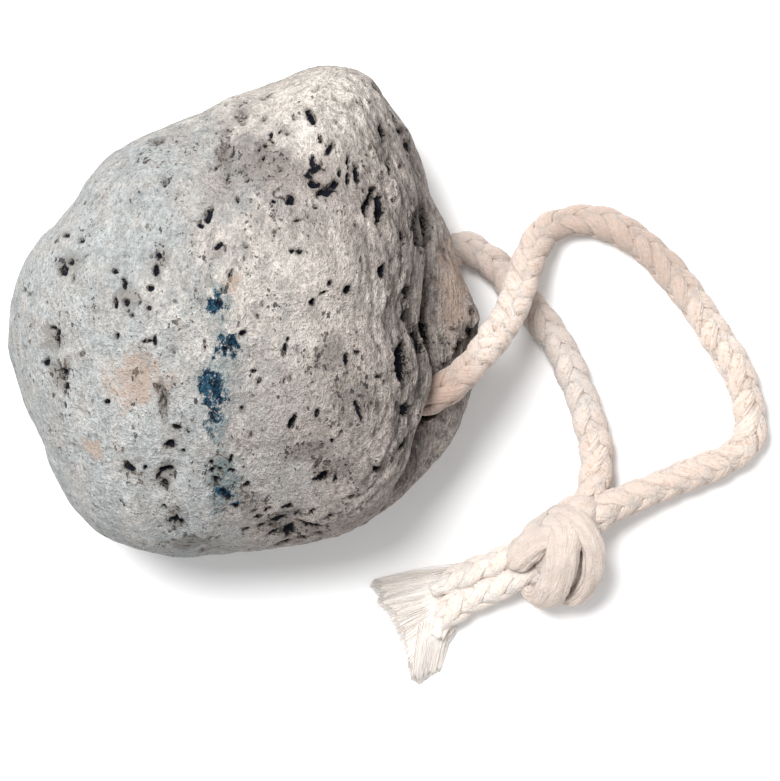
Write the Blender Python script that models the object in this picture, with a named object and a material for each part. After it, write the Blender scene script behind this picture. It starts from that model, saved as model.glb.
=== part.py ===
"""A natural pumice stone with a cotton rope through it, lying on its broad worn side.

Metres, +Z up. The origin is at the bottom centre of the stone's box. The stone is one
faceted pebble; the rope leaves it through a drilled way, lies in a loop on the surface
and ends in a knot and two frayed tails. Lengths are in millimetres, times MM.
"""

import math
import random

import bmesh
import bpy
import numpy as np
from mathutils import Matrix, Vector, noise
from mathutils.bvhtree import BVHTree

MM = 0.001
TURN = 2 * math.pi
SEED = 7

# --- The stone: driving dimensions, in millimetres -------------------------------------
STONE_TOP = 49.0
STONE_BASE = -1.5  # the rounded underside would reach here; it is worn flat at 0
CORE_LEVEL = 22.0  # the point that the surface is measured from, above the origin
ROUNDNESS = 2.25
BALL_SUBDIVISIONS = 5
HALVINGS = 40  # steps that close in on the surface along each direction

# The outline seen from above, clockwise from the nose at the far side.
OUTLINE = [
    (16.4, 42.7), (22.1, 40.5), (28.0, 33.0), (33.1, 19.7), (38.3, 6.5),
    (40.9, -3.4), (39.0, -16.1), (32.5, -26.5), (19.8, -36.8), (6.1, -40.8),
    (-9.0, -42.7), (-20.0, -40.8), (-31.5, -29.8), (-38.5, -14.9), (-40.9, -4.4),
    (-39.0, 5.8), (-32.0, 16.8), (-23.5, 26.9), (-7.8, 34.7), (5.4, 40.1),
]
# The dome's own edge where it stands over the crease: the outline's right side is the lobe.
RIDGE = [
    (25.8, 33.0), (30.0, 19.3), (31.0, 9.0), (29.9, -2.8), (31.6, -9.6),
    (31.4, -15.0), (30.0, -20.2), (28.7, -25.3), (26.6, -29.5),
]
RIDGE_FIRST, RIDGE_LAST = 2, 7  # the outline's points that the ridge's replace

DOME_LEVEL, DOME_LEVEL_OVER_CREASE = 21.0, 31.0
DOME_DROP, DOME_DROP_OVER_CREASE = 22.5, 13.0
LOBE_LEVEL = 18.5
LOBE_RISE = 9.5
LOBE_SHOULDER = 2.8
CREASE_AZIMUTH = -5.0
CREASE_STARTS, CREASE_FULL = 0.25, 0.85  # in cosines from that azimuth
UNDERCUT, UNDERCUT_ON_THE_RIGHT = 2.1, 1.7

# Lumps and hollows: azimuth and elevation in degrees, width in degrees, height in mm.
LUMPS = [
    (85, 36, 17, -2.0), (115, 47, 11, -1.3), (69, 24, 11, 1.6), (95, 22, 6, -0.9),
    (128, 22, 6, -0.8), (-12, 24, 12, 1.1), (-60, 34, 14, -1.2), (-125, 18, 18, 1.0),
    (180, 40, 20, 0.9), (-95, 8, 9, -0.9), (30, 60, 13, 0.8), (-150, 5, 8, -0.8),
    (150, -8, 12, -1.0), (-70, -20, 14, 1.0), (60, -15, 10, -1.1), (100, -30, 16, 0.9),
    (-160, -35, 14, -1.2), (-20, -30, 10, -0.8), (20, -18, 9, 0.7), (-110, -15, 9, -0.9),
]
UNEVEN_SIZE = 13.0
UNEVEN_HEIGHT = 0.75
UNEVEN_OCTAVES = 3

# Pits on the upper side: x, y, length, width, turn in degrees from +X, depth.
PITS = [
    (11.6, 33.0, 2.6, 1.4, 80, 1.6), (15.2, 28.0, 2.6, 1.2, 55, 1.6),
    (12.0, 25.0, 2.4, 1.8, 20, 1.8), (13.6, 21.3, 4.4, 2.2, -20, 2.0),
    (8.0, 19.2, 1.9, 1.6, 0, 1.4), (17.9, 25.0, 2.4, 1.2, 75, 1.5),
    (19.4, 22.4, 2.6, 1.3, 80, 1.5), (21.3, 17.5, 3.0, 1.2, 85, 1.5),
    (27.2, 30.6, 2.0, 1.2, 70, 1.3), (27.0, 12.6, 1.6, 1.2, 90, 1.3),
    (28.2, 3.0, 2.4, 1.5, 85, 1.6), (26.6, -8.4, 5.6, 2.2, 88, 2.4),
    (17.6, 3.9, 1.7, 1.5, 0, 1.4), (11.4, 2.3, 1.6, 1.4, 30, 1.3),
    (8.6, 10.4, 2.0, 1.2, 30, 1.3), (7.2, -5.6, 1.7, 1.4, 0, 1.2),
    (-4.7, 1.9, 2.4, 1.9, 60, 1.6), (-2.5, -5.5, 2.6, 1.9, 50, 1.6),
    (-4.7, -12.9, 4.8, 2.6, 85, 1.8), (-12.6, -22.8, 2.4, 1.3, 15, 1.5),
    (-20.0, -27.0, 2.4, 1.5, -20, 1.6), (-3.2, -31.2, 2.0, 1.4, 30, 1.5),
    (7.0, -37.2, 2.8, 1.3, -15, 1.5), (-32.5, -3.9, 2.8, 1.3, 85, 1.5),
    (-30.8, -10.3, 2.4, 1.3, 70, 1.4), (-31.0, 7.5, 2.6, 1.6, 60, 1.5),
    (-15.0, 10.4, 2.2, 1.3, 80, 1.4), (-5.9, 16.8, 2.0, 1.6, 0, 1.4),
    (13.4, -28.4, 2.4, 1.2, 40, 1.4), (23.0, -27.5, 2.2, 1.3, 60, 1.4),
    (39.0, 0.2, 2.0, 1.2, 85, 1.2), (35.4, 1.5, 2.2, 1.2, 85, 1.2),
]
PITS_BELOW = 16
PITS_BELOW_LENGTH = (1.8, 3.6)
PITS_BELOW_WIDTH, PITS_BELOW_DEPTH = 0.6, 0.5  # of their length
PITS_BELOW_SLOPE = (-0.75, 0.05)  # how steeply they lie below the core's level
PIT_RAGGEDNESS = 0.16

# --- The rope: driving dimensions, in millimetres --------------------------------------
ROPE_DIAMETER = 6.0
WAY_DIAMETER = 8.0  # the drilled way, worn wider than the rope
ROPE_STEP = 3.5
ROPE_RESOLUTION = 3
WELD = 0.01  # points nearer than this are one

# From the knot round the loop, down through the stone and back to the knot: x, y, z.
LOOP_ROUTE = [
    (60.5, -37.5, 7.5), (63.9, -34.6, 6.9), (67.8, -33.0, 5.4), (72.3, -31.2, 4.1),
    (78.7, -28.7, 3.3), (84.6, -26.4, 3.2), (88.7, -23.4, 3.2), (89.8, -19.2, 3.2),
    (88.0, -11.2, 3.2), (83.3, -3.3, 3.2), (77.7, 4.9, 3.2), (70.6, 12.4, 3.2),
    (62.6, 16.6, 3.2), (54.9, 16.0, 3.8), (51.6, 12.9, 5.6), (49.6, 8.4, 8.4),
    (47.7, 2.9, 12.0), (45.8, -1.2, 16.0), (42.8, -5.3, 21.0), (39.4, -9.4, 25.8),
    (35.6, -12.8, 28.2), (32.2, -14.9, 26.9), (30.4, -14.6, 22.6), (28.9, -13.2, 16.6),
    (27.6, -11.9, 10.6), (27.3, -9.6, 5.6), (28.3, -5.6, 3.4), (31.4, 1.0, 3.2),
    (35.2, 9.0, 3.2), (38.6, 11.0, 3.2), (41.8, 9.3, 3.2), (45.1, 7.1, 3.2),
    (48.1, 3.8, 3.2), (54.4, -3.6, 3.2), (58.1, -10.8, 3.2), (60.8, -18.5, 3.2),
    (62.4, -25.5, 3.4), (61.0, -33.0, 5.0), (58.4, -36.5, 6.0),
]
WAY_FIRST, WAY_LAST = 17, 29  # the points of that route where the stone makes way for it

# The knot: a packed core, and two turns of rope side by side round it.
KNOT_CORE = (56.2, -42.6, 7.4)
KNOT_CORE_SIZE = (12.6, 13.6, 11.8)
OUTER_TURN = [
    (54.0, -36.2, 9.6), (58.2, -36.6, 12.2), (60.9, -40.6, 12.6), (61.4, -45.6, 10.6),
    (59.6, -49.4, 7.0), (56.8, -48.9, 3.6), (53.4, -44.0, 2.9), (51.8, -38.6, 4.8),
]
INNER_TURN = [
    (51.0, -38.9, 9.0), (54.2, -39.6, 12.0), (55.8, -43.6, 12.4), (55.8, -47.6, 10.4),
    (54.2, -50.0, 7.0), (51.8, -48.2, 3.6), (50.0, -43.6, 3.0), (49.2, -39.8, 5.4),
]
TURN_THICKNESS = 0.86
LEFT_TAIL = [
    (54.5, -41.0, 7.2), (49.5, -42.6, 6.0), (44.0, -44.6, 4.6), (38.5, -46.9, 3.6),
    (33.0, -49.4, 3.2), (29.0, -51.0, 3.1),
]
DOWN_TAIL = [
    (54.5, -45.5, 6.6), (49.0, -46.8, 5.4), (43.5, -49.0, 4.2), (38.4, -51.4, 3.4),
    (35.0, -54.4, 3.2), (33.6, -58.6, 3.1), (32.8, -63.6, 2.9),
]
TAIL_THICKNESS = 0.9
# The left tail's end, unlaid into a flat fan of yarn: its outline, and its thickness.
FAN_OUTLINE = [
    (34.0, -47.6), (28.5, -46.9), (22.6, -47.2), (22.4, -49.4), (25.2, -54.0),
    (27.6, -59.4), (29.6, -65.4), (32.0, -64.8), (33.0, -57.0), (34.6, -52.0),
]
FAN_BOTTOM = 0.4
FAN_THICKNESS = 2.6

PUMICE = (0.55, 0.53, 0.50, 1.0)
COTTON = (0.90, 0.82, 0.73, 1.0)
PUMICE_ROUGHNESS = 0.95
COTTON_ROUGHNESS = 0.85
SHARP_ANGLE = 50.0  # the rope's edges above this many degrees stay sharp


# --- Shared helpers ---------------------------------------------------------------------
def clear_scene():
    for old in list(bpy.data.objects):
        bpy.data.objects.remove(old, do_unlink=True)


def material(name, colour, roughness):
    made = bpy.data.materials.new(name)
    made.use_nodes = True
    shader = made.node_tree.nodes["Principled BSDF"]
    shader.inputs["Base Color"].default_value = colour
    shader.inputs["Roughness"].default_value = roughness
    shader.inputs["Metallic"].default_value = 0.0
    return made


def add_mesh(name, bm, guide=False):
    """Put a bmesh that is in millimetres into the scene, in metres. A guide only cuts or joins."""
    bmesh.ops.scale(bm, vec=(MM, MM, MM), verts=bm.verts)
    bmesh.ops.recalc_face_normals(bm, faces=bm.faces)
    mesh = bpy.data.meshes.new(name)
    bm.to_mesh(mesh)
    bm.free()
    made = bpy.data.objects.new(name, mesh)
    bpy.context.scene.collection.objects.link(made)
    if guide:
        made.hide_render = True
        made.display_type = "WIRE"
    return made


def boolean(target, guide, operation):
    step = target.modifiers.new(guide.name, "BOOLEAN")
    step.operation = operation
    step.object = guide
    step.solver = "EXACT"
    step.use_self = True


def smooth_step(low, high, value):
    share = np.clip((value - low) / (high - low), 0, 1)
    return share * share * (3 - 2 * share)


def mix(a, b, share):
    return a + (b - a) * share


# --- The stone's form -------------------------------------------------------------------
def reach_along(outline, azimuth):
    """How far a closed outline lies from the middle at each azimuth, on a smooth curve."""
    polar = sorted((math.atan2(y, x), math.hypot(x, y)) for x, y in outline)
    angles = np.array([angle for angle, _ in polar])
    reaches = np.tile([reach for _, reach in polar], 3)
    angles = np.concatenate([angles - TURN, angles, angles + TURN])
    slopes = np.gradient(reaches, angles)
    i = np.searchsorted(angles, azimuth) - 1
    span = angles[i + 1] - angles[i]
    t = (azimuth - angles[i]) / span
    ahead = t * t * (3 - 2 * t)
    bend = t * (1 - t) * span * (slopes[i] * (1 - t) - slopes[i + 1] * t)
    return mix(reaches[i], reaches[i + 1], ahead) + bend


def fullness(radius, z, reach, level, rise, drop, power):
    """1 on a rounded body's surface and less inside it. It is widest at level."""
    height = np.where(z > level, (z - level) / rise, (level - z) / drop)
    return ((radius / reach) ** power + height ** power) ** (1 / power)


def stone_radius(directions):
    """The distance from the core to the worn surface along each direction: dome and lobe."""
    azimuth = np.arctan2(directions[:, 1], directions[:, 0])
    flat = np.hypot(directions[:, 0], directions[:, 1])
    outline = reach_along(OUTLINE, azimuth)
    dome_outline = OUTLINE[:RIDGE_FIRST] + RIDGE + OUTLINE[RIDGE_LAST + 1:]
    dome_reach = reach_along(dome_outline, azimuth)
    toward = np.cos(azimuth - math.radians(CREASE_AZIMUTH))
    over_crease = smooth_step(CREASE_STARTS, CREASE_FULL, toward)
    dome_level = mix(DOME_LEVEL, DOME_LEVEL_OVER_CREASE, over_crease)
    dome_drop = mix(DOME_DROP, DOME_DROP_OVER_CREASE, over_crease)
    undercut = mix(UNDERCUT, UNDERCUT_ON_THE_RIGHT, over_crease)
    near = np.zeros(len(directions))
    far = np.full(len(directions), 2 * STONE_TOP)
    for _ in range(HALVINGS):
        middle = (near + far) / 2
        radius = middle * flat
        z = CORE_LEVEL + middle * directions[:, 2]
        dome = fullness(radius, z, dome_reach, dome_level, STONE_TOP - dome_level,
                        dome_drop, ROUNDNESS)
        roundness = np.where(z > LOBE_LEVEL, LOBE_SHOULDER, undercut)
        lobe = fullness(radius, z, outline, LOBE_LEVEL, LOBE_RISE,
                        LOBE_LEVEL - STONE_BASE, roundness)
        inside = np.minimum(dome, lobe) < 1
        near = np.where(inside, middle, near)
        far = np.where(inside, far, middle)
    return near


def relief(directions, radii):
    """How far the surface stands out from the plain form: lumps, hollows and unevenness."""
    height = np.zeros(len(directions))
    for azimuth, elevation, width, lump in LUMPS:
        a, e = math.radians(azimuth), math.radians(elevation)
        centre = np.array([math.cos(a) * math.cos(e), math.sin(a) * math.cos(e), math.sin(e)])
        away = np.degrees(np.arccos(np.clip(directions @ centre, -1, 1)))
        height += lump * np.exp(-((away / width) ** 2))
    places = directions * (radii / UNEVEN_SIZE)[:, None]
    uneven = [noise.fractal(Vector(p), 1.0, 2.0, UNEVEN_OCTAVES) for p in places]
    return height + UNEVEN_HEIGHT * np.array(uneven)


def stone_mesh():
    """The whole pebble as a ball of triangles pushed out to its form, and worn flat below."""
    bm = bmesh.new()
    bmesh.ops.create_icosphere(bm, subdivisions=BALL_SUBDIVISIONS, radius=1)
    directions = np.array([vert.co.normalized() for vert in bm.verts])
    radii = stone_radius(directions)
    radii += relief(directions, radii)
    for vert, direction, radius in zip(bm.verts, directions, radii):
        vert.co = Vector((0, 0, CORE_LEVEL)) + Vector(direction) * radius
    worn = bmesh.ops.bisect_plane(
        bm, geom=bm.verts[:] + bm.edges[:] + bm.faces[:], dist=WELD,
        plane_co=(0, 0, 0), plane_no=(0, 0, -1), clear_outer=True)
    rim = [part for part in worn["geom_cut"] if isinstance(part, bmesh.types.BMEdge)]
    bmesh.ops.contextual_create(bm, geom=rim)
    bmesh.ops.triangulate(bm, faces=[face for face in bm.faces if len(face.verts) > 3])
    return bm


# --- Pits -------------------------------------------------------------------------------
def add_pit(bm, place, normal, length, width, depth, turn, chance):
    """One ragged ellipsoid sunk in the surface, its length turned round the normal."""
    along = Matrix.Rotation(math.radians(turn), 4, "Z")
    facing = Vector((0, 0, 1)).rotation_difference(normal).to_matrix().to_4x4()
    size = Matrix.Diagonal((length / 2, width / 2, depth, 1))
    ball = bmesh.ops.create_icosphere(
        bm, subdivisions=1, radius=1,
        matrix=Matrix.Translation(place) @ facing @ along @ size)
    for vert in ball["verts"]:
        vert.co = place + (vert.co - place) * (1 + chance.uniform(-1, 1) * PIT_RAGGEDNESS)


def pits_mesh(surface):
    """All the pits' cutters. Those above are placed by hand; those below are scattered."""
    chance = random.Random(SEED)
    tree = BVHTree.FromBMesh(surface)
    bm = bmesh.new()
    above = 2 * STONE_TOP
    for x, y, length, width, turn, depth in PITS:
        place, normal, _, _ = tree.ray_cast(Vector((x, y, above)), Vector((0, 0, -1)))
        add_pit(bm, place, normal, length, width, depth, turn, chance)
    core = Vector((0, 0, CORE_LEVEL))
    for i in range(PITS_BELOW):
        azimuth = TURN * (i + chance.uniform(0.1, 0.9)) / PITS_BELOW
        slope = chance.uniform(*PITS_BELOW_SLOPE)
        away = Vector((math.cos(azimuth), math.sin(azimuth), slope))
        place, normal, _, _ = tree.ray_cast(core + away * above, -away)
        length = chance.uniform(*PITS_BELOW_LENGTH)
        add_pit(bm, place, normal, length, length * PITS_BELOW_WIDTH,
                length * PITS_BELOW_DEPTH, chance.uniform(0, 180), chance)
    return bm


# --- Rope -------------------------------------------------------------------------------
def smooth_route(points, step, closed=False):
    """Points about a step apart on a smooth curve through the route's own points."""
    route = [Vector(point) for point in points]
    count = len(route)
    fine = []
    for i in range(count if closed else count - 1):
        if closed:
            before, start, end, after = (route[(i + k) % count] for k in (-1, 0, 1, 2))
        else:
            start, end = route[i], route[i + 1]
            before = route[i - 1] if i > 0 else start * 2 - end
            after = route[i + 2] if i + 2 < count else end * 2 - start
        parts = max(1, round((end - start).length / step))
        for k in range(parts):
            t = k / parts
            fine.append(0.5 * (2 * start + (end - before) * t
                               + (2 * before - 5 * start + 4 * end - after) * t ** 2
                               + (3 * start - 3 * end + after - before) * t ** 3))
    if not closed:
        fine.append(route[-1])
    return fine


def tube(name, points, diameter, closed=False, guide=True):
    """A round tube along the points, with closed ends, as a mesh object."""
    curve = bpy.data.curves.new(name, "CURVE")
    curve.dimensions = "3D"
    curve.bevel_depth = diameter / 2 * MM
    curve.bevel_resolution = ROPE_RESOLUTION
    curve.use_fill_caps = True
    spline = curve.splines.new("POLY")
    spline.points.add(len(points) - 1)
    for spot, point in zip(spline.points, points):
        spot.co = (*(point * MM), 1)
    spline.use_cyclic_u = closed
    source = bpy.data.objects.new(name + "_line", curve)
    bpy.context.scene.collection.objects.link(source)
    bpy.context.view_layer.update()
    graph = bpy.context.evaluated_depsgraph_get()
    mesh = bpy.data.meshes.new_from_object(source.evaluated_get(graph))
    bpy.data.objects.remove(source, do_unlink=True)
    bm = bmesh.new()
    bm.from_mesh(mesh)
    bmesh.ops.remove_doubles(bm, verts=bm.verts, dist=WELD * MM)
    bmesh.ops.scale(bm, vec=(1 / MM, 1 / MM, 1 / MM), verts=bm.verts)
    return add_mesh(name, bm, guide)


def knot_core():
    bm = bmesh.new()
    size = Matrix.Diagonal((*(side / 2 for side in KNOT_CORE_SIZE), 1))
    bmesh.ops.create_icosphere(
        bm, subdivisions=2, radius=1, matrix=Matrix.Translation(KNOT_CORE) @ size)
    return add_mesh("knot_core", bm, guide=True)


def frayed_fan():
    bm = bmesh.new()
    face = bm.faces.new([bm.verts.new((x, y, FAN_BOTTOM)) for x, y in FAN_OUTLINE])
    risen = bmesh.ops.extrude_face_region(bm, geom=[face])
    top = [part for part in risen["geom"] if isinstance(part, bmesh.types.BMVert)]
    bmesh.ops.translate(bm, verts=top, vec=(0, 0, FAN_THICKNESS))
    return add_mesh("frayed_fan", bm, guide=True)


# --- The two pieces ---------------------------------------------------------------------
def make_stone():
    surface = stone_mesh()
    pits = add_mesh("pits", pits_mesh(surface), guide=True)
    stone = add_mesh("stone", surface)
    way = smooth_route(LOOP_ROUTE[WAY_FIRST:WAY_LAST + 1], ROPE_STEP)
    drilled = tube("rope_way", way, WAY_DIAMETER)
    boolean(stone, pits, "DIFFERENCE")
    boolean(stone, drilled, "DIFFERENCE")
    stone.data.materials.append(material("pumice", PUMICE, PUMICE_ROUGHNESS))


def make_rope():
    turn = ROPE_DIAMETER * TURN_THICKNESS
    tail = ROPE_DIAMETER * TAIL_THICKNESS
    rope = tube("rope", smooth_route(LOOP_ROUTE, ROPE_STEP), ROPE_DIAMETER, guide=False)
    joined = [
        knot_core(),
        tube("outer_turn", smooth_route(OUTER_TURN, ROPE_STEP, True), turn, closed=True),
        tube("inner_turn", smooth_route(INNER_TURN, ROPE_STEP, True), turn, closed=True),
        tube("left_tail", smooth_route(LEFT_TAIL, ROPE_DIAMETER), tail),
        tube("down_tail", smooth_route(DOWN_TAIL, ROPE_DIAMETER), tail),
        frayed_fan(),
    ]
    for piece in joined:
        boolean(rope, piece, "UNION")
    rope.data.materials.append(material("cotton", COTTON, COTTON_ROUGHNESS))
    rope.data.shade_smooth()
    rope.data.set_sharp_from_angle(angle=math.radians(SHARP_ANGLE))


clear_scene()
make_stone()
make_rope()
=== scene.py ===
"""Looks of the pumice stone and its cotton rope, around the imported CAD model.

The frame is in metres, with +Z up. Lengths below are in millimetres.
"""

import math
import random

import bmesh
import bpy
import numpy as np
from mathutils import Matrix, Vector, noise
from mathutils.kdtree import KDTree


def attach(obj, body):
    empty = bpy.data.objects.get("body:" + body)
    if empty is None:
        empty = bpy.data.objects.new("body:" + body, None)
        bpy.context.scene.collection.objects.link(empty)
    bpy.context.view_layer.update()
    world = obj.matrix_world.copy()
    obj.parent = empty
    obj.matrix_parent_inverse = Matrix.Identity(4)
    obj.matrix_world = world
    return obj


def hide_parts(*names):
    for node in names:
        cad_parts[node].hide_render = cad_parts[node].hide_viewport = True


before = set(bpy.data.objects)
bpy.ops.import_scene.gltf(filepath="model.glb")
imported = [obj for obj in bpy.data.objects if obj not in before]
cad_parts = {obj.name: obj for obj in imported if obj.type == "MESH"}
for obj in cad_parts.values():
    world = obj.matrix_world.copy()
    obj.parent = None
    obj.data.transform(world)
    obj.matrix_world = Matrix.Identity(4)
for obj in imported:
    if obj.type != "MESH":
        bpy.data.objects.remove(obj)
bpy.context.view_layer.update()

MM = 0.001
PER_METRE = 1000
TURN = 2 * math.pi
NOISE_LOW, NOISE_HIGH = 0.30, 0.70  # between these lie nearly all of a noise node's values
MIX_A, MIX_B, MIX_RESULT = 6, 7, 2  # a Mix node's sockets for colours
SEED = 11

# --- Camera and light ---
# The camera looks straight down; the picture's own pixels name places seen in it.
CAMERA_PLACE = (25.4, -13.6, 700.0)
FOCAL_PIXELS = 3896.6
PICTURE_WIDTH = 780
PICTURE_MIDDLE = (390.0, 390.5)
SENSOR_WIDTH = 36.0
NEAREST_SEEN = 10.0
# Each light's place, size and power.
LIGHTS = {"key": ((-195, 240, 715), 400, 9.8), "fill": ((420, -260, 420), 600, 0.5)}
SKY_STRENGTH = 0.54
FLOOR_HALF = 1500.0
PAPER_LOOK = {"Base Color": (0.93, 0.93, 0.93, 1), "Roughness": 0.9}

# --- The stone's plain form, in millimetres: the values of part.py ---
STONE_TOP = 49.0
STONE_BASE = -1.5
CORE_LEVEL = 22.0
ROUNDNESS = 2.25
OUTLINE = [
    (16.4, 42.7), (22.1, 40.5), (28.0, 33.0), (33.1, 19.7), (38.3, 6.5),
    (40.9, -3.4), (39.0, -16.1), (32.5, -26.5), (19.8, -36.8), (6.1, -40.8),
    (-9.0, -42.7), (-20.0, -40.8), (-31.5, -29.8), (-38.5, -14.9), (-40.9, -4.4),
    (-39.0, 5.8), (-32.0, 16.8), (-23.5, 26.9), (-7.8, 34.7), (5.4, 40.1),
]
RIDGE = [
    (25.8, 33.0), (30.0, 19.3), (31.0, 9.0), (29.9, -2.8), (31.6, -9.6),
    (31.4, -15.0), (30.0, -20.2), (28.7, -25.3), (26.6, -29.5),
]
RIDGE_FIRST, RIDGE_LAST = 2, 7
DOME_LEVEL, DOME_LEVEL_OVER_CREASE = 21.0, 31.0
DOME_DROP, DOME_DROP_OVER_CREASE = 22.5, 13.0
LOBE_LEVEL = 18.5
LOBE_RISE = 9.5
LOBE_SHOULDER = 2.8
CREASE_AZIMUTH = -5.0
CREASE_STARTS, CREASE_FULL = 0.25, 0.85
UNDERCUT, UNDERCUT_ON_THE_RIGHT = 2.1, 1.7
LUMPS = [
    (85, 36, 17, -2.0), (115, 47, 11, -1.3), (69, 24, 11, 1.6), (95, 22, 6, -0.9),
    (128, 22, 6, -0.8), (-12, 24, 12, 1.1), (-60, 34, 14, -1.2), (-125, 18, 18, 1.0),
    (180, 40, 20, 0.9), (-95, 8, 9, -0.9), (30, 60, 13, 0.8), (-150, 5, 8, -0.8),
    (150, -8, 12, -1.0), (-70, -20, 14, 1.0), (60, -15, 10, -1.1), (100, -30, 16, 0.9),
    (-160, -35, 14, -1.2), (-20, -30, 10, -0.8), (20, -18, 9, 0.7), (-110, -15, 9, -0.9),
]
UNEVEN_SIZE = 13.0
UNEVEN_HEIGHT = 0.75
UNEVEN_FRACTAL = (1.0, 2.0, 3)  # its noise's dimension, lacunarity and octaves
HALVINGS = 24  # of the distance at which the surface is looked for

# --- The stone's fine surface ---
BALL_SUBDIVISIONS = 7
FINE_ABOVE = 0.1  # the sine of the elevation above which the ball is twice as fine
PIT_EDGE_SIZE, PIT_RAGGED = 0.8, 0.5  # the size and strength of the noise on a pit's edge

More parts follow.
